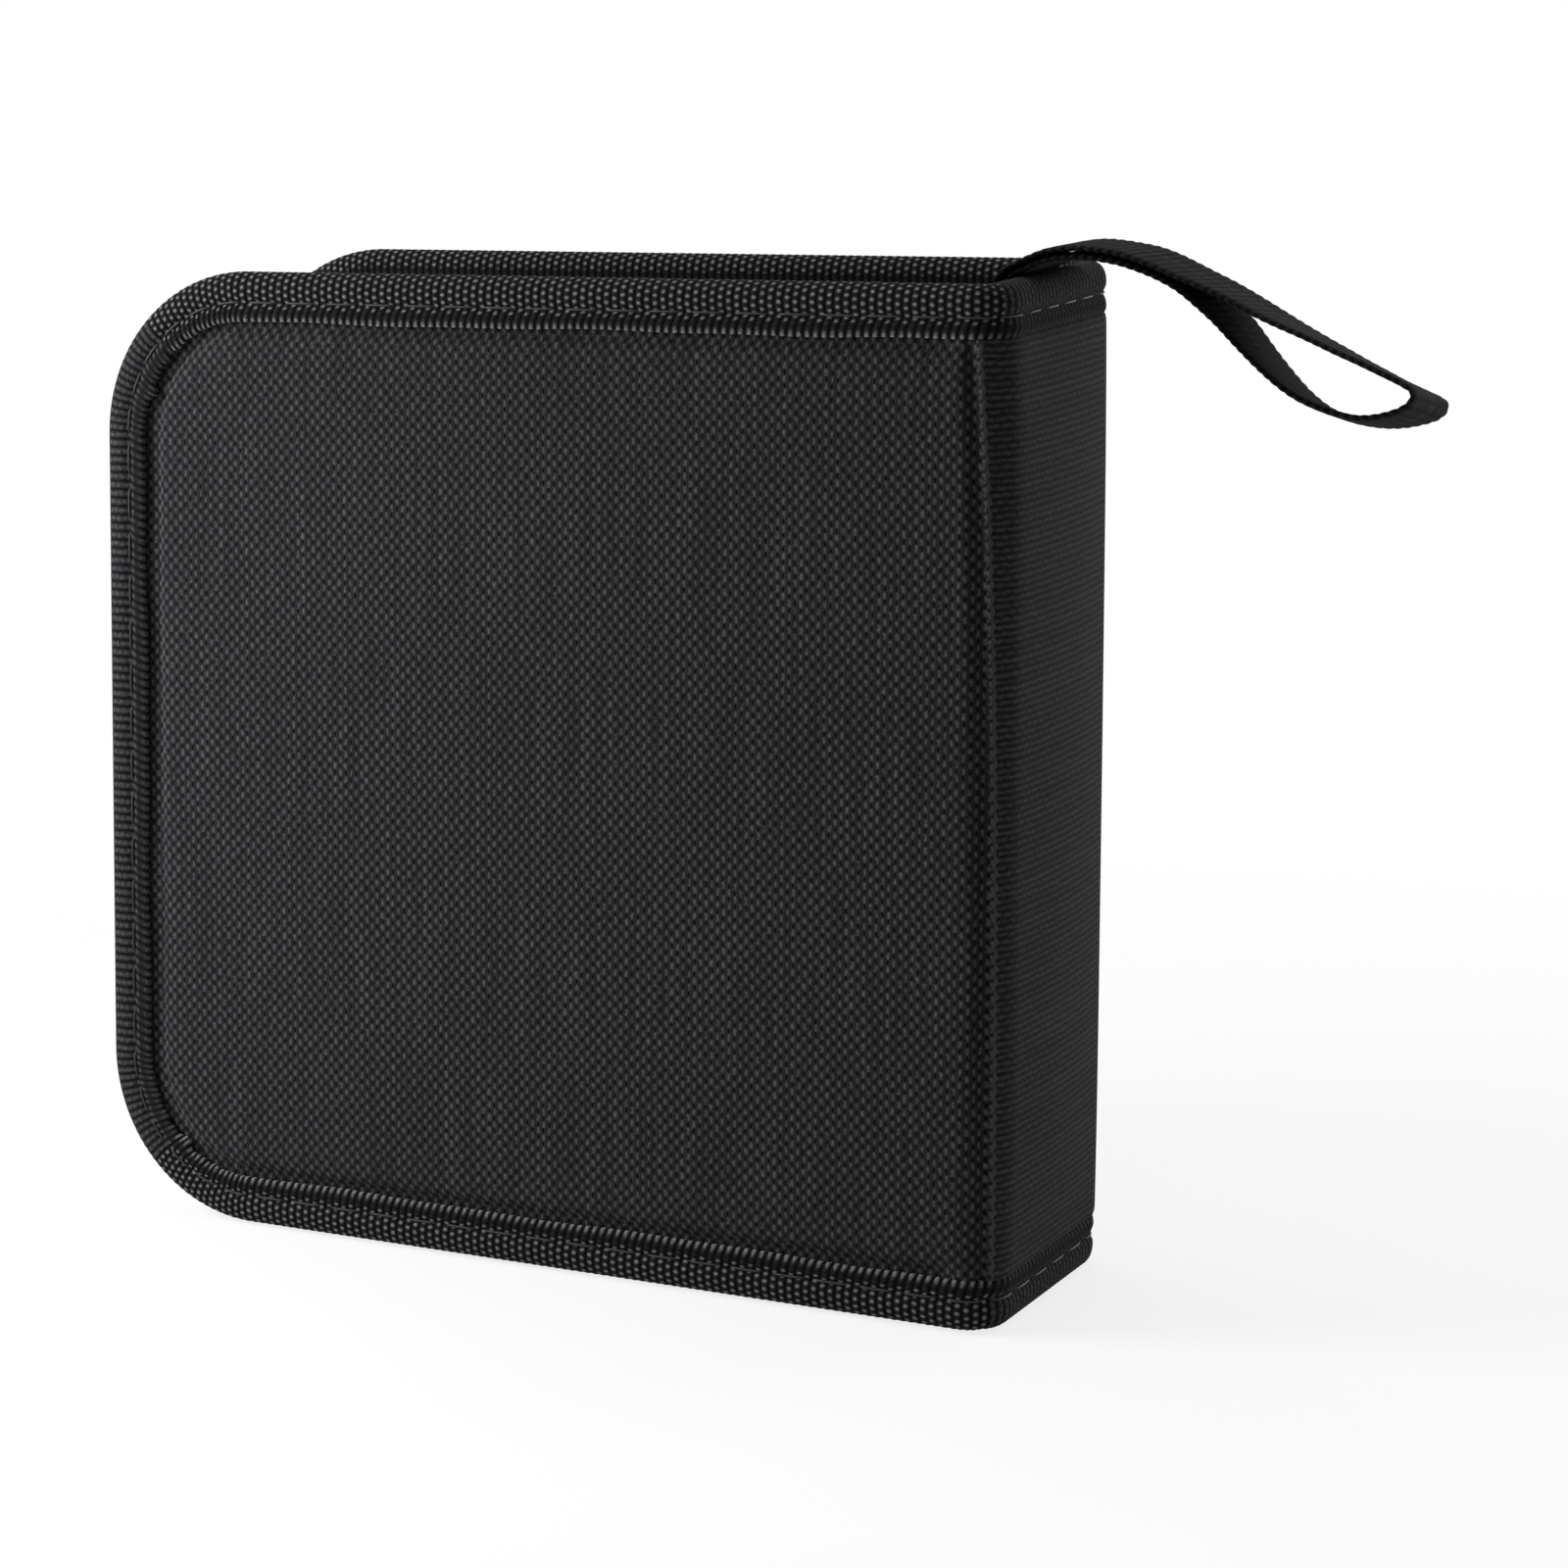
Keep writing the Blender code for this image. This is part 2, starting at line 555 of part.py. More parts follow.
def strap():
    """The webbing as a solid strip round its centreline, with thinned selvedges."""
    line = strap_line()
    half = STRAP_WIDTH / 2
    thin = STRAP_THICKNESS * 0.3
    thick = STRAP_THICKNESS / 2
    full = half - SELVEDGE
    section = [(-half, -thin), (-full, -thick), (full, -thick), (half, -thin),
               (half, thin), (full, thick), (-full, thick), (-half, thin)]
    rings = []
    for i, (x, z, slope) in enumerate(line):
        before = line[max(i - 1, 0)]
        after = line[min(i + 1, len(line) - 1)]
        along = Vector((after[0] - before[0], 0, after[1] - before[1])).normalized()
        up = Vector((-along.z, 0, along.x))
        here = Vector((x, 0, SPINE_RIM_TOP + z))
        rings.append([here + Vector((0, y, y * slope)) + up * h for y, h in section])
    return loft(rings)


finish("hand_strap", *strap(), WEBBING)

# Zip slider, parked at the spine end of the zip's top run
ZIP_LEVEL = FRONT_HEIGHT - ZIP_MID
SLIDER_BACK = ZIP_END_X - STOP_LENGTH - SLIDER_GAP
SLIDER_FRONT = SLIDER_BACK - SLIDER_LENGTH
ROW_TOP = ROW_THICKNESS / 2 + SLIDER_RUN
SLOT_HALF = ZIP_TAPE / 2 + SLIDER_RUN
INSIDE_HALF = ROW_BACK + SLIDER_RUN
BRIDGE_X = (SLIDER_BACK + SLIDER_FRONT) / 2
PULL_LEVEL = ZIP_LEVEL + ROW_TOP + SLIDER_PLATE + 0.0004 + PULL_THICKNESS / 2


def slider_half(sign):
    """One plate of the slider with its two flanges, above (1) or below (-1) the zip's rows."""
    shoulder = INSIDE_HALF + SLIDER_WALL
    nose = shoulder - 0.0010 - SLIDER_ROUND
    mid_x = SLIDER_FRONT + 0.35 * SLIDER_LENGTH
    plate = [
        (SLIDER_BACK, -shoulder + SLIDER_ROUND), (SLIDER_BACK - SLIDER_ROUND, -shoulder), (mid_x, -shoulder),
        (SLIDER_FRONT + SLIDER_CHAMFER, -shoulder), (SLIDER_FRONT, -nose), (SLIDER_FRONT, nose),
        (SLIDER_FRONT + SLIDER_CHAMFER, shoulder), (mid_x, shoulder), (SLIDER_BACK - SLIDER_ROUND, shoulder),
        (SLIDER_BACK, shoulder - SLIDER_ROUND),
    ]
    top = sorted((ZIP_LEVEL + sign * ROW_TOP, ZIP_LEVEL + sign * (ROW_TOP + SLIDER_PLATE)))
    solids = [prism(plate, *top)]
    rail = sorted((ZIP_LEVEL + sign * SLOT_HALF, ZIP_LEVEL + sign * (ROW_TOP + 0.5 * SLIDER_PLATE)))
    for edge in (-1, 1):
        ys = sorted((edge * INSIDE_HALF, edge * shoulder))
        low = (SLIDER_FRONT + SLIDER_CHAMFER + 0.0001, ys[0], rail[0])
        solids.append(block(low, (SLIDER_BACK - SLIDER_ROUND, ys[1], rail[1])))
    return solids


def slider():
    """The slider: two plates with flanges, the post between the rows, and the bridge over the pull."""
    solids = slider_half(1) + slider_half(-1)
    low = ZIP_LEVEL - ROW_TOP - 0.5 * SLIDER_PLATE
    high = ZIP_LEVEL + ROW_TOP + 0.5 * SLIDER_PLATE
    near = SLIDER_FRONT + 0.0008
    solids.append(block((near, -POST_WIDTH / 2, low), (near + POST_LENGTH, POST_WIDTH / 2, high)))
    top = PULL_LEVEL + PULL_THICKNESS / 2 + PULL_HEADROOM
    half = BRIDGE_WIDTH / 2
    bar_low = (BRIDGE_X - BRIDGE_REACH - BRIDGE_BAR, -half, top)
    bar_high = (BRIDGE_X + BRIDGE_REACH + BRIDGE_BAR, half, top + BRIDGE_BAR)
    solids.append(block(bar_low, bar_high))
    for sign in (-1, 1):
        xs = sorted((BRIDGE_X + sign * BRIDGE_REACH, BRIDGE_X + sign * (BRIDGE_REACH + BRIDGE_BAR)))
        foot = (xs[0], -half, high)
        head = (xs[1], half, top + 0.5 * BRIDGE_BAR)
        solids.append(block(foot, head))
    return merge("slider_body", solids, METAL, (BRIDGE_X, 0, ZIP_LEVEL))


slider()


def pull_ring(outline, hole):
    """A flat plate with a four-sided hole: two outlines and the walls between, as one closed solid."""
    count = len(outline)
    points = []
    for z in (PULL_LEVEL - PULL_THICKNESS / 2, PULL_LEVEL + PULL_THICKNESS / 2):
        points += [(x, y, z) for x, y in outline + hole]
    step = 2 * count
    faces = []
    for i in range(count):
        j = (i + 1) % count
        faces.append((i, j, count + j, count + i))
        faces.append((step + i, step + j, step + count + j, step + count + i))
        faces.append((i, j, step + j, step + i))
        faces.append((count + i, count + j, step + count + j, step + count + i))
    return points, faces


def pull():
    """The pull: a flat tab with an eye whose end bar lies under the slider's bridge."""
    eye = PULL_EYE_WIDTH / 2
    arm = eye + PULL_ARM
    bar = PULL_BAR / 2
    sweep = hypot(BRIDGE_REACH + BRIDGE_BAR, PULL_THICKNESS / 2 + PULL_HEADROOM + BRIDGE_BAR)
    far = BRIDGE_X - sweep - PULL_PLAY
    end = BRIDGE_X - PULL_LENGTH
    wide = PULL_END_WIDTH / 2
    outline = [
        (BRIDGE_X + bar, -arm + 0.0006), (BRIDGE_X + bar, arm - 0.0006), (BRIDGE_X + bar - 0.0006, arm),
        (far, arm), (far - 0.004, arm - 0.0004), (end + 0.0020, wide), (end + 0.0006, wide - 0.0007),
        (end, wide - 0.0022), (end, -wide + 0.0022), (end + 0.0006, -wide + 0.0007), (end + 0.0020, -wide),
        (far - 0.004, -arm + 0.0004), (far, -arm), (BRIDGE_X + bar - 0.0006, -arm),
    ]
    hole = [
        (BRIDGE_X - bar, -eye + 0.0002), (BRIDGE_X - bar, eye - 0.0002), (BRIDGE_X - bar - 0.0002, eye),
        (far + 0.0012, eye), (far + 0.0008, eye - 0.0001), (far + 0.0004, eye - 0.0003),
        (far + 0.0001, eye - 0.0007), (far, eye - 0.0011), (far, -eye + 0.0011),
        (far + 0.0001, -eye + 0.0007), (far + 0.0004, -eye + 0.0003), (far + 0.0008, -eye + 0.0001),
        (far + 0.0012, -eye), (BRIDGE_X - bar - 0.0002, -eye),
    ]
    return pull_ring(outline, hole)


finish("zip_pull", *pull(), METAL, (BRIDGE_X, 0, PULL_LEVEL))
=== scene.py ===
# %% [markdown]
# This lesson dresses a zip-round pocket case for discs. The frame already holds the solids and
# the joints: a spine, two covers that swing on it, and a zip slider with its pull. Here each soft
# solid is replaced by cloth, tape or webbing that looks sewn, and each hard one gets its finish.

# %% Load the frame
from math import cos, pi, radians, sin

import bpy
import numpy as np
from mathutils import Matrix, Vector


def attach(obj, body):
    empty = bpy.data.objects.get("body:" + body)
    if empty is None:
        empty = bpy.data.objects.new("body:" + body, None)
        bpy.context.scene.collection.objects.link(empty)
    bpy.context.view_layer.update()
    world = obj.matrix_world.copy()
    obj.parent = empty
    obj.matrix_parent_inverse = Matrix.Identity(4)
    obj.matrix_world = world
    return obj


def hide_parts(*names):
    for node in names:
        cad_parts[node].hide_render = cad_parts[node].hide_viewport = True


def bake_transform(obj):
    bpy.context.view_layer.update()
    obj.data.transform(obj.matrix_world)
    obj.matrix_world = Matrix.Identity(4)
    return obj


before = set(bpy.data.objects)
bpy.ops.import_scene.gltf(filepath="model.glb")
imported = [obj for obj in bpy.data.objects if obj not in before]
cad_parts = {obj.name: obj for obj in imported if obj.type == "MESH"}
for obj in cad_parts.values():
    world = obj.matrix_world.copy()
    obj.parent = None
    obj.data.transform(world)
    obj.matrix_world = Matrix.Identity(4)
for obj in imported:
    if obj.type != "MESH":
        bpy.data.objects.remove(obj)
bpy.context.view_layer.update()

MM = 0.001

# %% [markdown]
# The case is drawn flat first and then wrapped round its corners, the way it is sewn. Sizes are in
# millimetres. A cover is 160 mm long and 157 mm high; the back cover is 3.2 mm higher. "Depth" is
# measured inward from the outer face, so one set of layers serves both covers and the spine.

# %% Sizes shared by the pieces
CASE_LENGTH = 160.0
CASE_THICKNESS = 47.0
FRONT_HEIGHT = 157.0
BACK_RISE = 3.2
FORE_RADIUS = 27.0
FOLD_RADIUS = 6.8
RIM_DEPTH = 5.5
HALF = CASE_THICKNESS / 2
SPINE_X = RIM_DEPTH / 2
FORE_X = SPINE_X - CASE_LENGTH
BEND_X = SPINE_X - FOLD_RADIUS
SPINE_FLAT = HALF - FOLD_RADIUS
QUARTER = FOLD_RADIUS * pi / 4
CORNER_X = FORE_X + FORE_RADIUS
SPINE_MIDDLE = SPINE_FLAT + QUARTER
FLAT_CREASE = BEND_X + QUARTER
FLAT_MIDDLE = FLAT_CREASE + SPINE_MIDDLE
LINING_OUT = 3.8
LINING_IN = 4.3
PANEL_IN = 2.2
STITCH_INSET = 4.9
PANEL_EDGE = 9.3
TAPE_EDGE = 7.9
SEWN_EDGE = 3.0
HEIGHTS = {-1: FRONT_HEIGHT, 1: FRONT_HEIGHT + BACK_RISE}
WORDS = {-1: "front", 1: "back"}


def rim_height(q, side):
    """Height of the rim at wrap distance q: level along a cover, then a straight slope across the spine."""
    slope = BACK_RISE / (2 * SPINE_MIDDLE)
    return HEIGHTS[side] - side * slope * np.maximum(q, 0.0)


def wrap(q, z, depth, side):
    """Lays a flat point round the fold. q is the distance from the crease: negative on the cover, positive on
    the spine. Up to a quarter turn before the crease it is straight, then it follows an arc, then it is straight."""
    q, z, depth = np.broadcast_arrays(q, z, depth)
    turn = np.clip((q + QUARTER) / FOLD_RADIUS, 0.0, pi / 2)
    reach = FOLD_RADIUS - depth
    before = np.minimum(q + QUARTER, 0.0)
    after = np.maximum(q - QUARTER, 0.0)
    x = BEND_X + reach * np.sin(turn) + before
    y = SPINE_FLAT + reach * np.cos(turn) - after
    return np.stack([x, side * y, z], axis=-1)


print("crease at", np.round(wrap(0.0, 80.0, 0.0, -1), 2), "mm")

# %% [markdown]
# Every piece below is a surface of two parameters, worked out for a whole grid at once. Two helpers
# turn such grids into meshes: one closes two grids into a sheet with a thickness, the other carries
# a closed outline along a path. Both keep a UV map in millimetres, which the weaves are drawn on.

# %% Mesh helpers
def to_object(name, points, faces, uv, finishes, body, flat=None, kinds=None):
    """Makes the object from points in millimetres. uv has one pair for each point. flat marks the faces that
    are flat-shaded, and kinds gives each face's place in the list of finishes."""
    mesh = bpy.data.meshes.new(name)
    mesh.from_pydata((points * MM).tolist(), [], faces)
    layer = mesh.uv_layers.new(name="cloth")
    corner = np.empty(len(mesh.loops), dtype=np.int32)
    mesh.loops.foreach_get("vertex_index", corner)
    layer.data.foreach_set("uv", uv[corner].astype(np.float32).ravel())
    smooth = np.ones(len(mesh.polygons), dtype=bool) if flat is None else ~flat
    mesh.polygons.foreach_set("use_smooth", smooth)
    for finish in finishes if isinstance(finishes, list) else [finishes]:
        mesh.materials.append(finish)
    if kinds is not None:
        mesh.polygons.foreach_set("material_index", kinds.astype(np.int32))
    mesh.update()
    piece = bpy.data.objects.new(name, mesh)
    bpy.context.scene.collection.objects.link(piece)
    if body:
        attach(piece, body)
    return piece


def grid_faces(rows, columns, start=0, flip=False, around=False):
    """Quads of a grid of points numbered row by row. Around joins the last column to the first."""
    i = np.arange(rows - 1)[:, None]
    j = np.arange(columns if around else columns - 1)[None, :]
    k = (j + 1) % columns
    quads = np.stack([i * columns + j, i * columns + k, (i + 1) * columns + k, (i + 1) * columns + j], axis=-1)
    quads = quads.reshape(-1, 4) + start
    return quads[:, ::-1] if flip else quads


def facing(points, quads):
    """Six times the volume that the faces enclose: it is positive when they point outward."""
    a, b, c, d = (points[quads[:, n]] for n in range(4))
    return np.einsum("ij,ij->", a, np.cross(b, c)) + np.einsum("ij,ij->", a, np.cross(c, d))


def closed_sheet(outer, inner):
    """Points and quads of two grids of one size, closed by a wall round the border, and which quads are wall."""
    rows, columns = outer.shape[:2]
    points = np.concatenate([outer.reshape(-1, 3), inner.reshape(-1, 3)])
    count = rows * columns
    index = np.arange(count).reshape(rows, columns)
    border = np.concatenate([index[0, :-1], index[:-1, -1], index[-1, :0:-1], index[:0:-1, 0]])
    ahead = np.roll(border, -1)
    walls = np.stack([border, border + count, ahead + count, ahead], axis=-1)
    quads = np.concatenate([grid_faces(rows, columns), grid_faces(rows, columns, count, flip=True), walls])
    if facing(points - points.mean(axis=0), quads) < 0:
        quads = quads[:, ::-1]
    return points, quads, np.arange(len(quads)) >= len(quads) - len(walls)


def sheet(name, outer, inner, uv, finishes, body, second_from=None):
    """Closes two grids into one sheet. Rows of the grid after second_from take the second finish."""
    rows, columns = outer.shape[:2]
    points, quads, walls = closed_sheet(outer, inner)
    kinds = None
    if second_from is not None:
        face_row = np.repeat(np.arange(rows - 1), columns - 1)
        kinds = np.concatenate([face_row, face_row, np.zeros(walls.sum())]) >= second_from
    pair = uv.reshape(-1, 2)
    return to_object(name, points, quads.tolist(), np.concatenate([pair, pair]), finishes, body, walls, kinds)


def swept(name, rings, uv, finishes, body, second=None):
    """Closes a row of equal outlines into one strip, with a flat cap on each end. Rings marked in second take
    the second finish."""
    rows, columns = rings.shape[:2]
    points = rings.reshape(-1, 3)
    quads = grid_faces(rows, columns, around=True)
    flip = facing(points - points.mean(axis=0), quads) < 0
    if flip:
        quads = quads[:, ::-1]
    caps = [list(range(columns)), list(range((rows - 1) * columns, rows * columns))[::-1]]
    if not flip:
        caps = [cap[::-1] for cap in caps]
    faces = quads.tolist() + caps
    kinds = None if second is None else np.concatenate([np.repeat(second[:-1], columns), [False, False]])
    flat = np.arange(len(faces)) >= len(quads)
    return to_object(name, points, faces, uv.reshape(-1, 2), finishes, body, flat, kinds)


def scatter(name, template, quads, places, axes, uv, finish, body, flat=None):
    """Repeats one small closed shape at many places. axes holds three unit vectors for each place."""
    count = len(template)
    points = places[:, None, :] + np.einsum("vk,pkc->pvc", template, axes)
    faces = quads[None] + count * np.arange(len(places))[:, None, None]
    first = points[0]
    if facing(first - first.mean(axis=0), quads) < 0:
        faces = faces[:, :, ::-1]
    coords = np.broadcast_to(uv, (len(places), count, 2)).reshape(-1, 2)
    flat = None if flat is None else np.tile(flat, len(places))
    return to_object(name, points.reshape(-1, 3), faces.reshape(-1, 4).tolist(), coords, finish, body, flat)


def smooth_line(points, count):
    """A curve through the given points: each span is a cubic whose end slopes follow the neighbouring points.
    It returns count points spaced evenly along its length, and their distances from the start."""
    p = np.array(points, dtype=float)
    before = np.vstack([2 * p[0] - p[1], p[:-1]])
    after = np.vstack([p[1:], 2 * p[-1] - p[-2]])
    slope = (after - before) / 2
    t = np.linspace(0, 1, 24, endpoint=False)[:, None, None]
    a, b, m, n = p[:-1], p[1:], slope[:-1], slope[1:]
    spans = (2 * t**3 - 3 * t**2 + 1) * a + (t**3 - 2 * t**2 + t) * m + (3 * t**2 - 2 * t**3) * b + (t**3 - t**2) * n
    dense = np.vstack([spans.transpose(1, 0, 2).reshape(-1, p.shape[1]), p[-1:]])
    length = np.concatenate([[0], np.cumsum(np.linalg.norm(np.diff(dense, axis=0), axis=1))])
    even = np.linspace(0, length[-1], count)
    return np.stack([np.interp(even, length, dense[:, n]) for n in range(p.shape[1])], axis=-1), even


# %% [markdown]
# The camera stands where the photograph's did. Its place and lens were solved from the corners of
# the case, so the outlines fall on the same spots. A small upward shift of the lens keeps the
# upright edges nearly parallel, as in the picture.

# %% Camera
LENS = 81.834
YAW, PITCH, ROLL = radians(25.485), radians(5.105), radians(-0.354)
CAMERA_PLACE = Vector((197.13, -505.55, 169.26)) * MM
LENS_SHIFT = -0.17

view_camera = bpy.data.cameras.new("camera")
view_camera.lens = LENS
view_camera.sensor_width = 36.0
view_camera.shift_y = LENS_SHIFT
view_camera.clip_start = 0.01
view_camera.clip_end = 10.0
forward = Vector((-sin(YAW) * cos(PITCH), cos(YAW) * cos(PITCH), -sin(PITCH)))
level = Vector((cos(YAW), sin(YAW), 0.0))
down = forward.cross(level)
right = level * cos(ROLL) + down * sin(ROLL)
up = level * sin(ROLL) - down * cos(ROLL)
turned = Matrix((right, up, -forward)).transposed().to_4x4()
camera = bpy.data.objects.new("camera", view_camera)
camera.matrix_world = Matrix.Translation(CAMERA_PLACE) @ turned
bpy.context.scene.collection.objects.link(camera)
bpy.context.scene.camera = camera
bpy.context.scene.view_settings.view_transform = "Standard"
print("camera", round(camera.location.length, 3), "m from the case's foot")

# %% [markdown]
# Materials are built from nodes by one function, which adds a node, sets it and links it. Colours
# are written as the hex code that an eye would pick from a screen and are turned linear here.

# %% Node and colour helpers
def linear(code):
    """An sRGB hex colour as linear light: each channel is scaled to 1 and its screen curve undone."""
    shown = np.array([int(code[n:n + 2], 16) for n in (1, 3, 5)]) / 255
    light = np.where(shown <= 0.04045, shown / 12.92, ((shown + 0.055) / 1.055) ** 2.4)
    return (*light.tolist(), 1.0)


def add(tree, kind, inputs=None, **settings):
    """Adds one node, sets its properties, and sets or links its inputs. Returns its first output."""
    node = tree.nodes.new(kind)
    for key, value in settings.items():
        setattr(node, key, value)
    for key, value in (inputs or {}).items():
        if isinstance(value, bpy.types.NodeSocket):
            tree.links.new(value, node.inputs[key])
        else:
            node.inputs[key].default_value = value
    return node.outputs[0]


def new_finish(name, colour, roughness, metallic=0.0, sheen=0.0, shine=0.5):
    """A material with its Principled shader's own values set. Returns it, its tree and its shader."""
    made = bpy.data.materials.new(name)
    made.use_nodes = True
    shader = made.node_tree.nodes["Principled BSDF"]
    shader.inputs["Base Color"].default_value = linear(colour)
    shader.inputs["Roughness"].default_value = roughness
    shader.inputs["Metallic"].default_value = metallic
    shader.inputs["Specular IOR Level"].default_value = shine
    shader.inputs["Sheen Weight"].default_value = sheen
    shader.inputs["Sheen Roughness"].default_value = 0.4
    made.diffuse_color = linear(colour)
    return made, made.node_tree, shader


def shade(tree, shader, height, low, middle, high, relief):
    """Turns a height pattern from 0 to 1 into a colour from low to high and into relief of that many millimetres. The
    colour carries painted light: painted shade where the pattern is low and a painted highlight where it is high.
    """
    # Painted shade and painted highlight: the ramp darkens the low parts of the pattern and lightens its high parts.
    ramp = tree.nodes.new("ShaderNodeValToRGB")
    ramp.color_ramp.elements[0].color = linear(low)
    ramp.color_ramp.elements[1].color = linear(high)
    ramp.color_ramp.elements.new(0.5).color = linear(middle)
    tree.links.new(height, ramp.inputs[0])
    tree.links.new(ramp.outputs[0], shader.inputs["Base Color"])
    bump = add(tree, "ShaderNodeBump", {"Height": height, "Strength": 1.0, "Distance": relief * MM})
    tree.links.new(bump, shader.inputs["Normal"])


# %% [markdown]
# The covers are coarse plain-weave nylon with a foam backing. Its yarns are 1 mm apart, so the pattern repeats every 2
# mm: upright lumps, where a warp yarn passes over, stand in a staggered lattice, with narrow slots between them. The
# slots are coloured dark as painted shade and the lump tops light as a painted highlight. Two cosines, one for each set
# of yarns, give the lattice, and noise makes it as uneven as real yarn. On the spine the same cloth is seen almost edge
# on, where the cross yarns stand out as fine level rows. There it takes a darker copy of the cloth with the rows made
# the stronger part: painted shade for that grazing view and between the rows.

# %% Plain-weave nylon for the covers and the spine
WARP_PITCH = 0.985
WEFT_PITCH = 1.025


def cloth_coordinates(tree, wander, wander_scale):
    """The UV map split in two, each pushed about a little by noise so that the yarns are not ruled lines."""
    place = add(tree, "ShaderNodeUVMap", uv_map="cloth")
    noise = add(tree, "ShaderNodeTexNoise", {"Vector": place, "Scale": wander_scale, "Detail": 3.0})
    colour = noise.node.outputs["Color"]
    centred = add(tree, "ShaderNodeVectorMath", {0: colour, 1: (0.5, 0.5, 0.5)}, operation="SUBTRACT")
    pushed = add(tree, "ShaderNodeVectorMath", {0: centred, "Scale": wander}, operation="SCALE")
    moved = add(tree, "ShaderNodeVectorMath", {0: place, 1: pushed}, operation="ADD")
    parts = add(tree, "ShaderNodeSeparateXYZ", {0: moved}).node
    return parts.outputs["X"], parts.outputs["Y"], place


def woven_nylon(name, low, middle, high, lump_share, slot_share, row_share, streak, relief):
    """Plain weave. Upright lumps stand where both cosines agree, slots lie where they differ, rows follow the weft, and
    streaks are whole yarns that are a little lighter or darker than their neighbours. The height also sets the colour:
    painted shade in the slots and between the rows, a painted highlight on the lumps."""
    made, tree, shader = new_finish(name, middle, 0.85, sheen=0.02, shine=0.06)
    u, v, place = cloth_coordinates(tree, 0.55, 0.7)
    turn_u = add(tree, "ShaderNodeMath", {0: u, 1: pi / WARP_PITCH}, operation="MULTIPLY")
    turn_v = add(tree, "ShaderNodeMath", {0: v, 1: pi / WEFT_PITCH}, operation="MULTIPLY")
    cos_u = add(tree, "ShaderNodeMath", {0: turn_u}, operation="COSINE")
    cos_v = add(tree, "ShaderNodeMath", {0: turn_v}, operation="COSINE")
    both = add(tree, "ShaderNodeMath", {0: cos_u, 1: cos_v}, operation="MULTIPLY")
    column = add(tree, "ShaderNodeMath", {0: cos_u}, operation="ABSOLUTE")
    lump = add(tree, "ShaderNodeMath", {0: column, 1: both}, operation="ADD")
    lump = add(tree, "ShaderNodeMath", {0: lump, 1: column}, operation="MULTIPLY")
    narrow = add(tree, "ShaderNodeMath", {0: cos_u, 1: 4.0}, operation="POWER")
    slot = add(tree, "ShaderNodeMath", {0: both, 1: 0.0}, operation="MINIMUM")
    slot = add(tree, "ShaderNodeMath", {0: slot, 1: narrow}, operation="MULTIPLY")
    row = add(tree, "ShaderNodeMath", {0: cos_v, 1: cos_v}, operation="MULTIPLY")
    height = add(tree, "ShaderNodeMath", {0: lump, 1: lump_share, 2: 0.45}, operation="MULTIPLY_ADD")
    height = add(tree, "ShaderNodeMath", {0: slot, 1: slot_share, 2: height}, operation="MULTIPLY_ADD")
    height = add(tree, "ShaderNodeMath", {0: row, 1: row_share, 2: height}, operation="MULTIPLY_ADD")
    fibres = add(tree, "ShaderNodeTexNoise", {"Vector": place, "Scale": 1.4, "Detail": 6.0, "Roughness": 0.75})
    drawn = add(tree, "ShaderNodeMapping", {"Vector": place, "Scale": streak})
    yarn = add(tree, "ShaderNodeTexNoise", {"Vector": drawn, "Scale": 1.0, "Detail": 2.0, "Roughness": 0.6})
    uneven = add(tree, "ShaderNodeMath", {0: fibres, 1: 1.7, 2: -0.15}, operation="MULTIPLY_ADD")
    uneven = add(tree, "ShaderNodeMath", {0: yarn, 1: 0.6, 2: uneven}, operation="MULTIPLY_ADD")
    height = add(tree, "ShaderNodeMath", {0: height, 1: uneven}, operation="MULTIPLY")
    shade(tree, shader, height, low, middle, high, relief)
    return made


UPRIGHT_STREAKS = (1.0, 0.03, 1.0)
LEVEL_STREAKS = (0.03, 1.0, 1.0)
# The cover cloth's darkest colour is painted shade in the slots and its lightest a painted highlight on the lumps.
cover_cloth = woven_nylon(
    "cover nylon plain weave", "#030304", "#212123", "#545456", 0.19, 0.60, 0.0, UPRIGHT_STREAKS, 0.18)
# The spine's cloth is a darker copy of the cover's, with strong level rows: painted shade for the spine's grazing view
# and between its rows.
shaded_spine_cloth = woven_nylon(
    "spine nylon plain weave, painted shade", "#030304", "#141415", "#3a3a3d", 0.03, 0.16, 0.42, LEVEL_STREAKS, 0.14)
print("yarns", WARP_PITCH, "by", WEFT_PITCH, "mm")

# %% [markdown]
# The binding is a ribbed tape: thick ribs run across it, 1.4 mm apart, and each rib is a row of small beads where the
# warp crosses it. The beads are coloured bright as a painted highlight, with painted shade in the gaps between the
# ribs. Neighbouring ribs are half a bead out of step. Past the stitches the ribs end in plain slugs, painted brighter
# still as a highlight. The ribs are real relief in the mesh; the beads are drawn here, on a UV map that counts the ribs
# one way and measures the tape the other way. Along the fore edge and over the spine the tape takes a darker copy whose
# beads are soft and dull: painted shade.

# %% Ribbed tape and webbing
RIB_PITCH = 1.39
BEAD_PITCH = 1.21
SLUG_LENGTH = 2.9
TAPE_ACROSS = 19.6


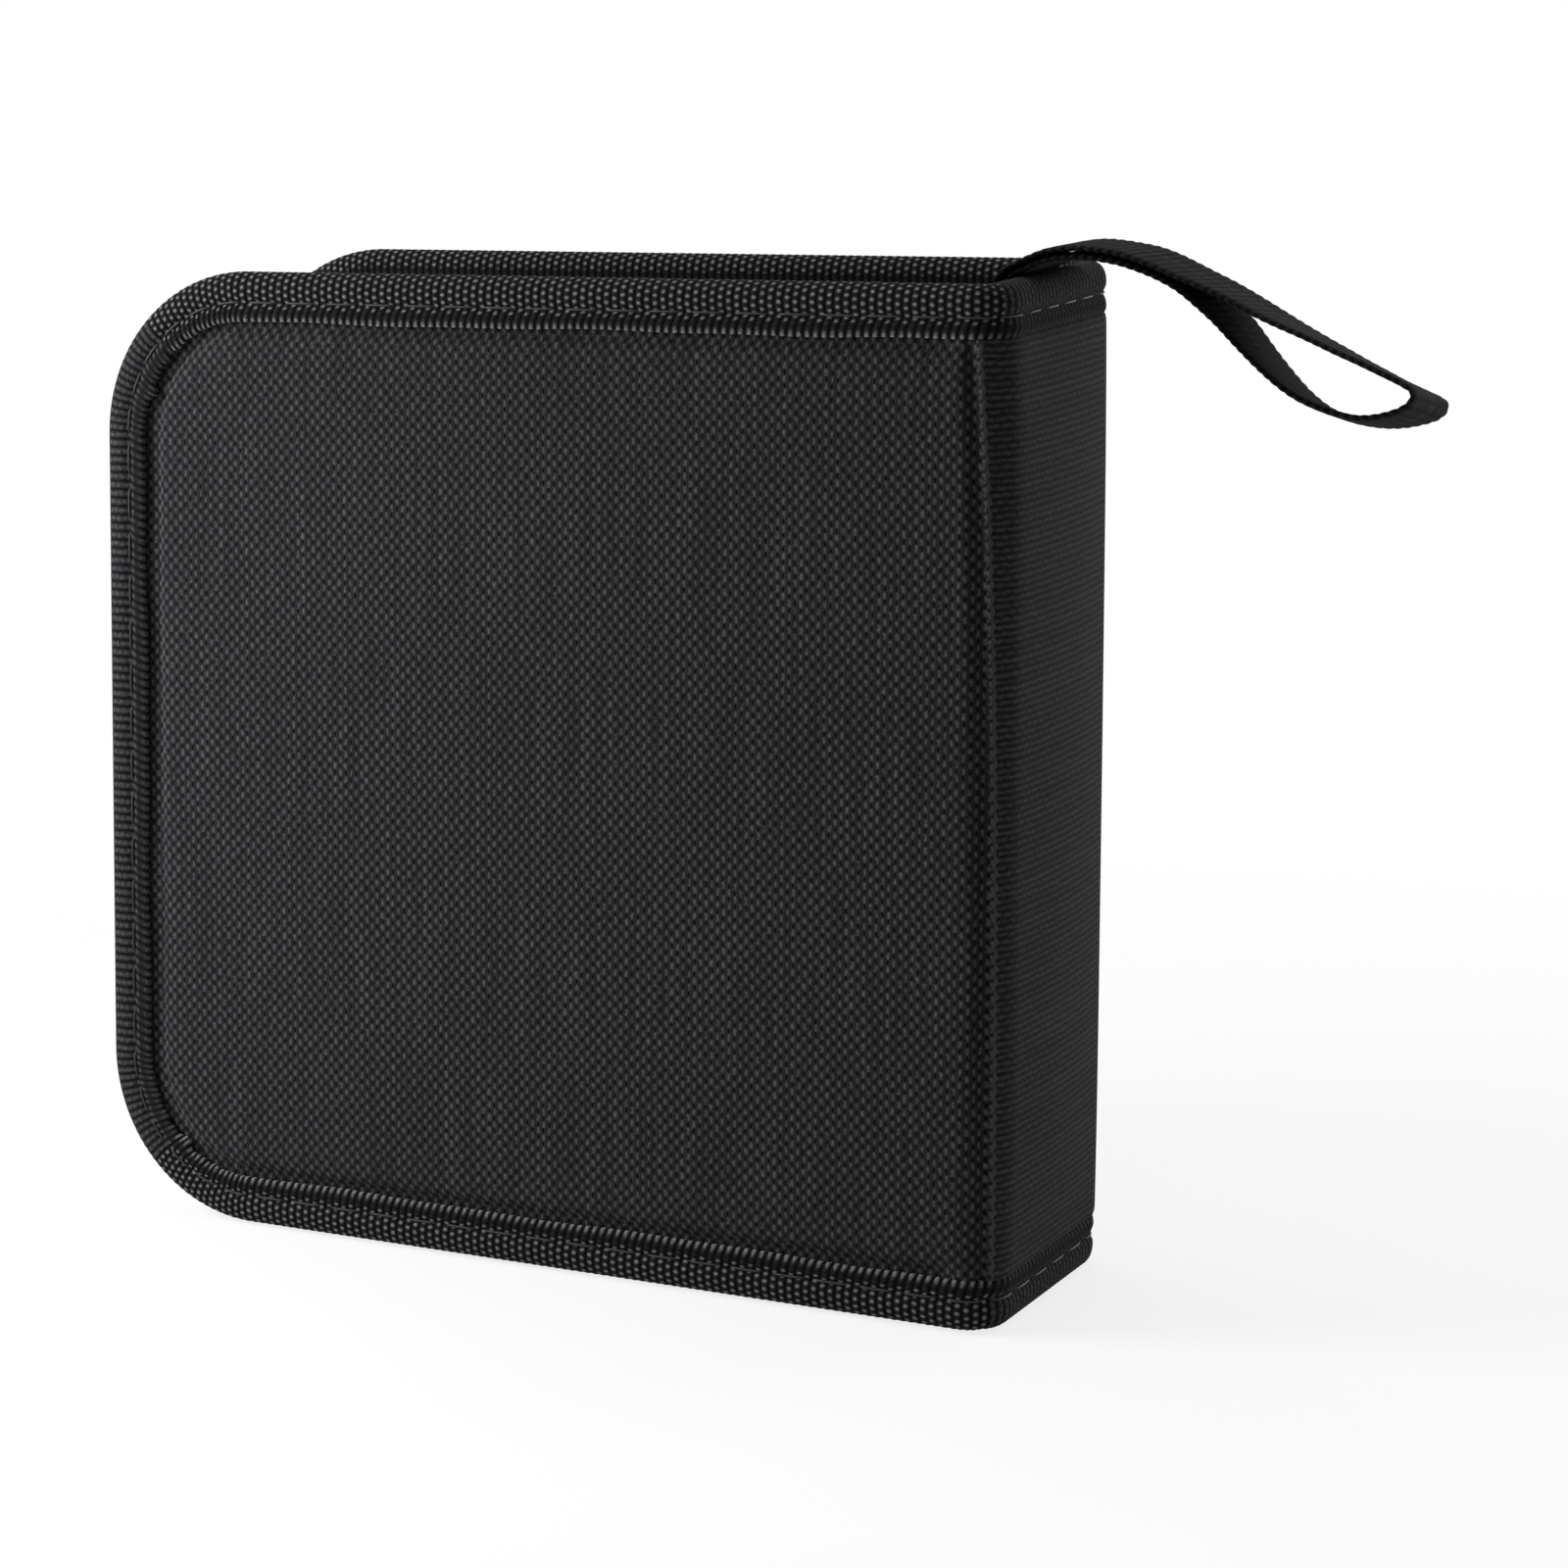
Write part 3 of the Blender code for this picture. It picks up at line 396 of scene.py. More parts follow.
def ribbed_tape(name, gap, thread, bead_highlight, relief, bead_share, fuzz, tape_width=TAPE_ACROSS):
    """Ribbed weave. U counts ribs, so its fraction places a rib; V in millimetres places the beads along it. Fuzz is
    how much loose fibres break the pattern up. The height also sets the colour: a painted highlight on the beads and
    slugs, painted shade in the gaps."""
    made, tree, shader = new_finish(name, thread, 0.85, sheen=0.0, shine=0.04)
    u, v, place = cloth_coordinates(tree, 0.16, 0.9)
    shifted = add(tree, "ShaderNodeMath", {0: u, 1: 0.5}, operation="ADD")
    rib = add(tree, "ShaderNodeMath", {0: shifted}, operation="FLOOR")
    off = add(tree, "ShaderNodeMath", {0: u, 1: rib}, operation="SUBTRACT")
    off = add(tree, "ShaderNodeMath", {0: off, 1: pi}, operation="MULTIPLY")
    ridge = add(tree, "ShaderNodeMath", {0: off}, operation="COSINE")
    step = add(tree, "ShaderNodeMath", {0: rib, 1: pi}, operation="MULTIPLY")
    wave = add(tree, "ShaderNodeMath", {0: v, 1: 2 * pi / BEAD_PITCH, 2: step}, operation="MULTIPLY_ADD")
    wave = add(tree, "ShaderNodeMath", {0: wave}, operation="COSINE")
    bead = add(tree, "ShaderNodeMath", {0: wave, 1: bead_share / 2, 2: 1 - bead_share / 2}, operation="MULTIPLY_ADD")
    edge = add(tree, "ShaderNodeMath", {0: v, 1: tape_width / 2}, operation="PINGPONG")
    # The slugs near the tape's edges are raised in height, which also paints them brighter: a painted highlight.
    slug_bump_and_highlight = add(tree, "ShaderNodeMapRange", {0: edge, 1: 0.3, 2: SLUG_LENGTH, 3: 1.6, 4: 0.3})
    inner = add(tree, "ShaderNodeMapRange", {0: edge, 1: SLUG_LENGTH, 2: SLUG_LENGTH + 0.7})
    bead = add(tree, "ShaderNodeMath", {0: bead, 1: slug_bump_and_highlight}, operation="SUBTRACT")
    bead = add(tree, "ShaderNodeMath", {0: bead, 1: inner, 2: slug_bump_and_highlight}, operation="MULTIPLY_ADD")
    height = add(tree, "ShaderNodeMath", {0: ridge, 1: bead}, operation="MULTIPLY")
    strands = add(tree, "ShaderNodeTexNoise", {"Vector": place, "Scale": 2.6, "Detail": 5.0, "Roughness": 0.7})
    uneven = add(tree, "ShaderNodeMath", {0: strands, 1: fuzz, 2: 0.9 - fuzz / 2}, operation="MULTIPLY_ADD")
    height = add(tree, "ShaderNodeMath", {0: height, 1: uneven}, operation="MULTIPLY")
    shade(tree, shader, height, gap, thread, bead_highlight, relief)
    return made


# Each tape's darkest colour is painted shade between the ribs and its lightest a painted highlight on the beads. The
# second binding tape is a darker, duller copy of the first: painted shade.
binding_tape = ribbed_tape("binding nylon ribbed tape", "#010101", "#222224", "#858587", 0.36, 0.66, 1.2)
shaded_tape = ribbed_tape("binding nylon tape, painted shade", "#060607", "#222224", "#4a4a4c", 0.16, 0.25, 2.6)
strap_webbing = ribbed_tape("strap nylon webbing", "#080809", "#151517", "#262628", 0.12, 0.35, 1.2, 1000.0)
print("ribs", RIB_PITCH, "mm, beads", BEAD_PITCH, "mm")

# %% [markdown]
# The rest of the finishes are simpler: sewing thread, a smooth nylon lining, knitted zip tape, the
# shiny nylon coil of the zip, plated zinc for the slider, and the soft film of the disc sleeves.

# %% Thread, lining, zip, metal and film
def fine_finish(name, colour, roughness, scale, contrast, relief, stretch=(1, 1, 1), solid=False, **shader_values):
    """A plain colour broken up by fine noise. It follows the piece's UV map, or the object's own place if it is
    one of the frame's solids, and both are read in millimetres."""
    made, tree, shader = new_finish(name, colour, roughness, **shader_values)
    if solid:
        place = add(tree, "ShaderNodeTexCoord").node.outputs["Object"]
        stretch = tuple(value / MM for value in stretch)
    else:
        place = add(tree, "ShaderNodeUVMap", uv_map="cloth")
    spread = add(tree, "ShaderNodeMapping", {"Vector": place, "Scale": stretch})
    grain = add(tree, "ShaderNodeTexNoise", {"Vector": spread, "Scale": scale, "Detail": 4.0, "Roughness": 0.65})
    base = np.array(linear(colour)[:3])
    ramp = tree.nodes.new("ShaderNodeValToRGB")
    ramp.color_ramp.elements[0].position = 0.25
    ramp.color_ramp.elements[0].color = (*(base * (1 - contrast)).tolist(), 1.0)
    ramp.color_ramp.elements[1].position = 0.75
    ramp.color_ramp.elements[1].color = (*(base * (1 + contrast)).tolist(), 1.0)
    tree.links.new(grain, ramp.inputs[0])
    tree.links.new(ramp.outputs[0], shader.inputs["Base Color"])
    bump = add(tree, "ShaderNodeBump", {"Height": grain, "Strength": 0.6, "Distance": relief * MM})
    tree.links.new(bump, shader.inputs["Normal"])
    return made


sewing_thread = fine_finish("bonded nylon thread", "#1e1e20", 0.55, 6.0, 0.4, 0.05, shine=0.3)
edge_thread = fine_finish("textured nylon overlock thread", "#303032", 0.75, 4.0, 0.5, 0.05, shine=0.2)
lining_cloth = fine_finish("smooth nylon lining", "#1b1b1d", 0.6, 3.0, 0.25, 0.05, (1, 4, 1), sheen=0.1, shine=0.3)
zip_cloth = fine_finish("knitted polyester zip tape", "#1b1b1c", 0.75, 2.2, 0.35, 0.10, (3, 1, 1), shine=0.2)
coil_nylon = fine_finish("nylon zip coil", "#161617", 0.32, 1.2, 0.15, 0.02)
sleeve_backing = fine_finish("non-woven sleeve backing", "#2a2a2c", 0.85, 3.5, 0.35, 0.08, shine=0.2)
sleeve_film = fine_finish("clear polypropylene sleeve film", "#c4c6c8", 0.18, 0.05, 0.02, 0.004, shine=0.3)
sleeve_film.node_tree.nodes["Principled BSDF"].inputs["Alpha"].default_value = 0.10
stiffener = fine_finish("pressed polypropylene sheet", "#5b5853", 0.6, 0.8, 0.15, 0.02, solid=True)
plated_zinc = fine_finish("black nickel-plated zinc", "#3a3a3d", 0.28, 0.6, 0.10, 0.01, solid=True, metallic=1.0)
HARD_FINISHES = {
    "slider_body": plated_zinc, "zip_pull": plated_zinc,
    "spine_board": stiffener, "front_board": stiffener, "back_board": stiffener,
}
for word in ("front", "back"):
    for end in ("top", "bottom"):
        HARD_FINISHES[f"{word}_zip_stop_{end}"] = plated_zinc
for node, finish in HARD_FINISHES.items():
    bpy.data.objects[node].material_slots[0].material = finish
print(len(bpy.data.materials), "materials,", len(HARD_FINISHES), "solids kept from the frame")

# %% [markdown]
# The outer cloth is padded: its middle stands a millimetre and a half above the edge that is sewn down
# under the binding. One grid covers half of the case, from the fore edge over a cover, round the fold
# and on to the middle of the spine. Its columns crowd together round the two fore corners and at the
# fold, and each runs between the lower and the upper edge, so no quad is ever folded. Because the grid
# has no joins, no seam shows where the cloth bends.

# %% Outer cloth of the covers, the folds and the spine
BULGE_FADE = 14.0


def graded(count_end, count_middle, share):
    """Numbers from 0 to 1 that crowd together near both ends: fine steps over a share at each end, coarse between."""
    ends = share * np.linspace(0, 1, count_end, endpoint=False)
    middle = np.linspace(share, 1 - share, count_middle, endpoint=False)
    return np.concatenate([ends, middle, 1 - ends[::-1][:count_end], [1.0]])


ROWS = graded(22, 80, 0.075)


def rim_inset(x, z, height):
    """Distance in from the cover's rim: to the nearest edge, or to the rounded corner where both edges are near."""
    from_fore = x - FORE_X
    from_edge = np.minimum(z, height - z)
    corner = (from_fore < FORE_RADIUS) & (from_edge < FORE_RADIUS)
    rounded = FORE_RADIUS - np.hypot(FORE_RADIUS - from_fore, FORE_RADIUS - from_edge)
    return np.where(corner, rounded, np.minimum(from_fore, from_edge))


def cloth_depth(inset, u, v):
    """Depth of the padded face: flat where it is sewn, then a soft shoulder that eases out to full height. The
    sewn part is a little wider along the fore edge."""
    edge = PANEL_EDGE + 1.5 * np.exp(-((u - FORE_X) / 20) ** 2)
    rise = 1.0 - np.exp(-np.maximum(inset - edge, 0.0) / 0.9)
    swell = 0.10 * np.sin(u / 21 + 0.6) * np.sin(v / 27 + 0.9) + 0.05 * np.sin(u / 7.3 + v / 11.1)
    return 1.2 - (1.45 + swell) * rise


def fold_line(z):
    """Where the spine's cloth is folded under and sewn: it drifts towards the cover near the top."""
    return 0.2 - 3.2 * np.clip(z / 150, 0, 1) ** 3.3


def crease_depth(q, z):
    """The cover's cloth dips under the folded edge of the spine's cloth, which stands up as a low sharp ridge."""
    past = q - fold_line(z)
    dip = 0.95 * np.exp(-((past + 1.25) / 1.15) ** 2) * (past < 0.1)
    rise = 1 / (1 + np.exp(-(past + 0.15) / 0.10))
    return dip * (1 - rise) - 0.50 * rise * np.exp(-np.maximum(past, 0) / 2.6)


def spine_bulge(q):
    """The spine is padded too: its middle stands out, in a parabola that starts from each crease."""
    return -1.5 * np.clip(1 - ((q - SPINE_MIDDLE) / (SPINE_MIDDLE - 1.5)) ** 2, 0, 1)


def face_depth(inset, u, v, q):
    """The outer face everywhere: a cover's padding up to the fold, then the spine's, whose bulge fades slowly
    towards the rims."""
    rise = 1.0 - np.exp(-np.maximum(inset - TAPE_EDGE + 0.4, 0.0) / 0.4)
    slow = 1.0 - np.exp(-np.maximum(inset - TAPE_EDGE, 0.0) / BULGE_FADE)
    spine = 1.0 - 1.25 * rise + spine_bulge(q) * slow + crease_depth(q, v) * rise
    share = np.clip((q + 9.0) / 6.0, 0, 1)
    share = share * share * (3 - 2 * share)
    cover = cloth_depth(inset, u, v)
    return cover + (spine - cover) * share


# Each span of columns: where it begins in the flat cloth, and how many columns it holds.
COLUMN_SPANS = [
    (CORNER_X, 84), (-8.0, 10), (FLAT_CREASE - 4.6, 22), (FLAT_CREASE - 0.5, 14), (FLAT_CREASE + 0.4, 18),
    (FLAT_CREASE + 5.4, 21), (FLAT_MIDDLE, 1), (FLAT_MIDDLE + 0.4, 0),
]
CORNER_COLUMNS = 52
LINE_COLUMN = CORNER_COLUMNS + 84 + 10 + 22 + 5
DRIFT_FROM, DRIFT_TO = -9.3, 10.0


def cloth_columns():
    """Places across one side, from the fore edge to the spine's middle, crowded round the corners and the fold."""
    turn = np.linspace(pi / 2, 0, CORNER_COLUMNS, endpoint=False)
    corner = FORE_X + SEWN_EDGE + (FORE_RADIUS - SEWN_EDGE) * (1 - np.sin(turn))
    spans = [np.linspace(a, b, n, endpoint=False) for (a, n), (b, _) in zip(COLUMN_SPANS, COLUMN_SPANS[1:])]
    return np.concatenate([corner, *spans, [FLAT_MIDDLE + 0.4]])


COLUMNS = cloth_columns()


def side_grid(side, depth_of, step=1):
    """Half of the case as one grid, from the fore edge to the spine's middle. Each column runs between the lower
    and the upper rim, and those near the crease follow the folded edge. The last one lies just past the middle
    and a little deeper, so that the two halves dip under each other there and leave no line."""
    base = COLUMNS[::step, None]
    rows = ROWS[None, ::step]
    near = base - FLAT_CREASE
    fade = 1 - np.clip(np.where(near < 0, near / DRIFT_FROM, near / DRIFT_TO), 0, 1) ** 2
    x = base + fade * fold_line(HEIGHTS[side] * rows)
    q = x - FLAT_CREASE
    top = rim_height(q, side)
    radius = FORE_RADIUS - SEWN_EDGE
    reach = np.clip(CORNER_X - x, 0, radius)
    low = SEWN_EDGE + radius - np.sqrt(np.maximum(radius**2 - reach**2, 0.0))
    z = low + (top - 2 * low) * rows
    depth = depth_of(rim_inset(x, z, top), x, z, q) + 0.08 * np.maximum(q - SPINE_MIDDLE, 0.0)
    row = np.where(base < COLUMNS[LINE_COLUMN], z, z * FRONT_HEIGHT / top)
    return wrap(q, z, depth, side), np.stack([x, row], axis=-1)


def bend(piece):
    """Bakes the piece's place into its mesh and returns it."""
    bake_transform(piece)
    return piece


def level_with(depth):
    """A depth that is the same everywhere, for the under side of a cloth and for the lining."""
    return lambda inset, u, v, q: np.full(np.shape(v), depth)


for side, word in WORDS.items():
    outer, flat = side_grid(side, face_depth)
    inner, _ = side_grid(side, level_with(PANEL_IN))
    # The grid's spine part takes the darker copy of the cloth, which is painted shade.
    piece = sheet(word + "_cloth", outer, inner, flat, [cover_cloth, shaded_spine_cloth], None, second_from=LINE_COLUMN)
    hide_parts(word + "_panel", "spine_panel")
    bend(piece)
print("cloth grid", outer.shape[:2], "rows spaced", round(float(ROWS[1] * 151), 2), "mm at the edge")

# %% [markdown]
# Inside, the same grid, with half as many columns and rows, carries the lining, a thin smooth cloth. It
# is glued over the boards, so it has no padding, and it turns the corner at each fold with the outer
# cloth.

# %% Lining
for side, word in WORDS.items():
    outer, flat = side_grid(side, level_with(LINING_OUT), step=2)
    inner, _ = side_grid(side, level_with(LINING_IN), step=2)
    piece = sheet(word + "_lining_cloth", outer, inner, flat, lining_cloth, None)
    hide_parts(word + "_lining", "spine_lining")
    bend(piece)
print("lining", LINING_OUT, "to", LINING_IN, "mm deep")

# %% [markdown]
# The binding is one tape folded over the raw edges of all the layers and sewn through. Across it the
# outline is a soft U: a loose flap, a dent where the stitches pull, a full round roll over the rim,
# and the same again inside. Carrying that outline along the rim, with a ripple for each rib, gives
# the tape. The rim is followed in the flat cloth and wrapped round the fold with it. Round the fore
# corners the flap has more length than it needs, so it puckers.

# %% Binding tape
FLAP_HALF = [
    (7.45, 0.95), (7.95, 0.80), (8.10, 0.35), (7.9, 0.00), (7.2, -0.22), (6.3, -0.18), (5.5, 0.12),
    (4.95, 0.46), (4.4, 0.12), (3.7, -0.17), (2.5, -0.14), (1.4, 0.18), (0.62, 0.75), (0.15, 1.55), (0.0, 2.2),
]
TAPE_BACK = [(2.1, 2.3), (2.4, 1.15), (3.4, 0.92), (5.0, 0.92), (6.6, 0.92)]


def tape_outline():
    """The folded tape's closed outline as inset, depth, how freely each point may ripple, and distance across."""
    half = FLAP_HALF + [(e, RIM_DEPTH - d) for e, d in FLAP_HALF[::-1]]
    outer, across = smooth_line(half, 36)
    back = TAPE_BACK[::-1] + [(e, RIM_DEPTH - d) for e, d in TAPE_BACK]
    inner = np.array(back)
    ring = np.vstack([outer, inner[::-1]])
    free = np.concatenate([np.ones(len(outer)), np.zeros(len(inner))])
    free[:2] = free[34:36] = 0.3
    width = np.concatenate([across, np.interp(np.linspace(1, 0, len(inner)), [0, 1], [0, across[-1]])])
    return ring[:, 0], ring[:, 1], free, width


RING_INSET, RING_DEPTH, RING_FREE, RING_WIDTH = tape_outline()
tangent = np.roll(np.stack([RING_INSET, RING_DEPTH], -1), -1, 0) - np.roll(np.stack([RING_INSET, RING_DEPTH], -1), 1, 0)
tangent /= np.maximum(np.linalg.norm(tangent, axis=1, keepdims=True), 1e-6)
RING_NORMAL = np.stack([tangent[:, 1], -tangent[:, 0]], axis=-1)
if RING_NORMAL[10, 1] > 0:
    RING_NORMAL = -RING_NORMAL
SAMPLES_PER_RIB = 5
RIB_RISE = 0.13
SLUG_LEAN = 0.22


def rim_line(s, height, start):
    """The cover's rim at distance s: from x = start along the bottom, round a corner, up the fore edge, round
    again, and back along the top. Returns the place, the direction that points inward, and the whole length."""
    run = start - CORNER_X
    arc = FORE_RADIUS * pi / 2
    fore = height - 2 * FORE_RADIUS
    first = np.clip(s - run, 0, arc) / FORE_RADIUS
    second = np.clip(s - run - arc - fore, 0, arc) / FORE_RADIUS
    x = start - np.clip(s, 0, run) - FORE_RADIUS * np.sin(first) + FORE_RADIUS * (1 - np.cos(second))
    x = x + np.maximum(s - run - 2 * arc - fore, 0)
    z = FORE_RADIUS * (1 - np.cos(first)) + np.clip(s - run - arc, 0, fore) + FORE_RADIUS * np.sin(second)
    turn = first + second
    return x, z, np.sin(turn), np.cos(turn), 2 * run + 2 * arc + fore


def pucker(s, centres):
    """Gathers of the loose flap: waves 4.5 mm long under a smooth hump at each corner's middle."""
    hump = sum(np.exp(-((s - c) / 13.0) ** 2) for c in centres)
    return hump * (np.sin(2 * pi * s / 4.6) + 0.5 * np.sin(2 * pi * s / 2.9 + 1.3))


def pleats(s, total, run):
    """One small overlap of the flap at each fore corner: a narrow hump where the spare length is folded in."""
    arc = FORE_RADIUS * pi / 2
    return sum(np.exp(-((s - c) / 1.5) ** 2) for c in (run + 0.45 * arc, total - run - 0.75 * arc))


def ripple(s, pitch, gathers):
    """The ribs as a running count, with the slugs beyond the stitches leaning a little, and how far each point
    of the tape stands out: the ribs, stronger in the slugs, and the puckers of the flap's free part."""
    loose = np.clip(RING_INSET - STITCH_INSET, 0, 3.0)[None, :]
    count = s[:, None] / pitch + SLUG_LEAN * loose
    rib = np.abs(np.cos(pi * count)) ** 0.8 - 0.55
    flap = (loose / 3.0) ** 1.5
    stand = RING_FREE[None, :] * (RIB_RISE * (1 + 0.7 * np.minimum(loose, 1)) * rib + 0.22 * gathers[:, None] * flap)
    return count, stand


def on_rim(s, inset, depth, side):
    """Where a point lies that is so far along the rim from the spine's middle, so far in from it and so deep."""
    x, z, inward_x, inward_z, _ = rim_line(s, HEIGHTS[side], FLAT_MIDDLE)
    q = x + inset * inward_x - FLAT_CREASE
    lift = np.where(z > FRONT_HEIGHT / 2, rim_height(q, side) - HEIGHTS[side], 0.0)
    return wrap(q, z + inset * inward_z + lift, depth, side)


def rim_length(side):
    """Length of the rim from the spine's middle round one cover and back."""
    return float(rim_line(np.zeros(1), HEIGHTS[side], FLAT_MIDDLE)[4])


def side_tape(side):
    """One side's binding, from the spine's middle along the bottom, round both fore corners and back on top."""
    total = rim_length(side)
    ribs = int(round(total / RIB_PITCH))
    s = np.linspace(0, total, ribs * SAMPLES_PER_RIB + 1)
    corner = FLAT_MIDDLE - CORNER_X + FORE_RADIUS * pi / 4
    gathers = pucker(s, (corner, total - corner))
    count, out = ripple(s, total / ribs, gathers)
    flat = np.clip((total / 2 - corner - np.abs(s - total / 2)) / 12, 0, 1)
    flat = np.maximum(flat, np.clip((np.abs(s - total / 2) - total / 2 + SPINE_MIDDLE) / 6, 0, 1))
    out = out * (1 - 0.75 * flat[:, None])
    wobble = 0.16 * np.sin(s / 9.7 + 0.4) + 0.10 * np.sin(s / 4.1)
    wobble = wobble * np.clip((s - SPINE_MIDDLE) / 20, 0, 1) * np.clip((total - SPINE_MIDDLE - s) / 20, 0, 1)
    inset = RING_INSET[None, :] + RING_NORMAL[None, :, 0] * out
    pleat = pleats(s, total, FLAT_MIDDLE - CORNER_X)[:, None]
    loose = np.clip((inset - 5.5) / 3, 0, 1)
    inset = inset + (wobble[:, None] + 0.18 * gathers[:, None] + 1.3 * pleat) * loose
    depth = RING_DEPTH[None, :] + RING_NORMAL[None, :, 1] * (out + 0.25 * pleat * loose)
    from_crease = np.minimum(np.abs(s - SPINE_MIDDLE), np.abs(total - SPINE_MIDDLE - s))[:, None]
    depth = depth + 0.25 * np.exp(-(from_crease / 1.2) ** 2) * (depth < PANEL_IN)
    uv = np.stack(np.broadcast_arrays(count, RING_WIDTH[None, :]), axis=-1)
    # Along the fore edge and over the spine the binding takes its darker, duller copy: painted shade.
    shaded_span = (np.abs(s - total / 2) < total / 2 - corner) | (np.abs(s - total / 2) > total / 2 - SPINE_MIDDLE + 1)
    return on_rim(s[:, None], inset, depth, side), uv, shaded_span


for side, word in WORDS.items():
    rings, uv, shaded_span = side_tape(side)
    piece = swept(word + "_binding_tape", rings, uv, [binding_tape, shaded_tape], None, shaded_span)
    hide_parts(word + "_binding", "spine_binding_top", "spine_binding_bottom")
    bend(piece)
print("binding", len(RING_INSET), "points round,", round(float(RING_WIDTH[35]), 1), "mm of tape folded over")

# %% [markdown]
# One seam of bonded thread holds the binding. Seen from outside it is a row of long stitches lying
# in the dent, each dipping into a needle hole at its ends. The whole seam is one thin tube carried
# along the same rim line as the tape: its depth and its radius change along every stitch.

# %% Seams
STITCH_PITCH = 7.3
THREAD_RADIUS = 0.20
STEPS_PER_STITCH = 16


def seam_thread(side, inside):
    """The seam's thread on one face. Its depth follows a flat-topped arch from one needle hole to the next."""
    total = rim_length(side)
    stitches = int(round(total / STITCH_PITCH))
    s = np.linspace(0, total, stitches * STEPS_PER_STITCH + 1)[:, None]
    hole = np.abs(np.cos(pi * s * stitches / total))
    size = THREAD_RADIUS * (1 - 0.5 * hole ** 8)
    turn = np.linspace(0, 2 * pi, 7, endpoint=False)[None, :]
    depth = 0.20 + 0.75 * hole ** 8 - size * np.sin(turn)
    depth = RIM_DEPTH - depth if inside else depth
    uv = np.stack(np.broadcast_arrays(s, 0.2 * turn), axis=-1)
    return on_rim(s, STITCH_INSET + size * np.cos(turn), depth, side), uv


for side, word in WORDS.items():
    for inside, face in ((False, "outer"), (True, "inner")):
        rings, uv = seam_thread(side, inside)
        piece = swept(f"{word}_{face}_seam", rings, uv, sewing_thread, None)
        bend(piece)
print("stitches every", STITCH_PITCH, "mm")

# %% [markdown]
# Along each fold the spine's cloth is turned under and its edge is overlocked to the cover. The overlocking shows as a
# pale chain of small loops down the ridge: one thread whose loops swell and narrow every 2 mm. It is wrapped round the
# fold with the cloth.

# %% Overlocked edge at the folds
LOOP_PITCH = 2.05


def fold_chain(side):
    """A tube down the folded edge. Its radius and its sideways place both follow the loops."""
    z = np.arange(PANEL_EDGE - 0.6, HEIGHTS[side] - PANEL_EDGE + 0.8, LOOP_PITCH / 8)[:, None]
    q = fold_line(z)
    phase = 2 * pi * z / LOOP_PITCH
    turn = np.linspace(0, 2 * pi, 8, endpoint=False)[None, :]
    size = 0.34 + 0.11 * np.cos(phase)
    q = q + 0.35 + 0.12 * np.sin(phase) + size * np.cos(turn)
    z = z + 0 * turn
    top = rim_height(q, side)
    ridge = face_depth(np.minimum(z, top - z), q + FLAT_CREASE, z, fold_line(z) + 0.35)
    depth = ridge + 0.10 - 0.55 * size * np.sin(turn)
    uv = np.stack([q, z], axis=-1)
    return wrap(q, z, depth, side), uv


for side, word in WORDS.items():
    rings, uv = fold_chain(side)
    piece = swept(word + "_fold_chain", rings, uv, edge_thread, None)
    bend(piece)
print("loops every", LOOP_PITCH, "mm")

# %% [markdown]
# The hand strap is one length of webbing, doubled into a loop and sewn into the spine's top rim. Its
# middle line is a list of points taken from the photograph; it twists as it hangs, so each point
# also has a slope across the strap. Ribs run across it, and its selvedges are lightly scalloped.

# %% Hand strap
STRAP_HALF = 10.5
STRAP_THICK = 1.0
RIM_TOP = 158.6
RIM_SLOPE = BACK_RISE / (2 * SPINE_MIDDLE)
RIM_MIDDLE = -RIM_DEPTH / 2
STRAP_TAIL = 6.5
LOWER_PLY = [
    (0.5, 1.4, 0.072), (3.0, 2.3, 0.062), (6.0, 2.7, 0.050), (9.0, 2.7, 0.038), (12.0, 2.35, 0.030),
    (15.0, 1.8, 0.028), (18.0, 0.85, 0.022), (21.0, -0.4, 0.012), (24.0, -2.05, 0.002), (27.0, -4.4, -0.008),
    (30.0, -7.2, -0.035), (33.0, -10.6, -0.080), (36.0, -13.8, -0.120), (39.0, -16.6, -0.150),
    (42.0, -18.7, -0.160), (45.0, -20.0, -0.155), (48.0, -20.8, -0.138), (51.0, -21.2, -0.120),
    (54.0, -21.0, -0.115), (56.8, -20.3, -0.120),
]
TIP_BEND = [(58.4, -19.6, -0.128), (59.3, -18.8, -0.133), (59.6, -18.0, -0.137), (59.4, -17.3, -0.142), (58.7, -16.8, -0.148)]
UPPER_PLY = [
    (57.0, -16.0, -0.158), (54.0, -14.7, -0.162), (51.0, -13.3, -0.152), (48.0, -11.95, -0.138),
    (45.0, -10.5, -0.124), (42.0, -9.1, -0.108), (39.0, -7.7, -0.085), (36.0, -6.2, -0.064), (33.0, -4.6, -0.050),
    (30.0, -3.05, -0.035), (27.0, -1.65, -0.015), (24.0, -0.4, 0.000), (21.0, 0.9, 0.012), (18.0, 2.15, 0.022),
    (15.0, 3.1, 0.028), (12.0, 3.65, 0.030), (9.0, 4.0, 0.038), (6.0, 4.05, 0.050), (3.0, 3.6, 0.062), (0.6, 2.8, 0.072),
]
ROOT_INNER = RIM_DEPTH / 2 + 0.3 + STRAP_THICK / 2
ROOT_OUTER = ROOT_INNER + STRAP_THICK + 0.3


def over_rim(radius):
    """From the sewn end inside the case, up, and part of the way over the rolled rim."""
    turns = np.radians(np.linspace(180, 115, 6))
    rise = [(-radius, RIM_MIDDLE - STRAP_TAIL + 3.3 * n, RIM_SLOPE) for n in range(2)]
    return rise + [(radius * cos(a), RIM_MIDDLE + radius * sin(a), RIM_SLOPE) for a in turns]


strap_points = over_rim(ROOT_INNER) + LOWER_PLY + TIP_BEND + UPPER_PLY + over_rim(ROOT_OUTER)[::-1]
strap_ribs = 110
strap_line, strap_length = smooth_line(strap_points, strap_ribs * 6 + 1)
print("webbing", round(float(strap_length[-1]), 1), "mm long")


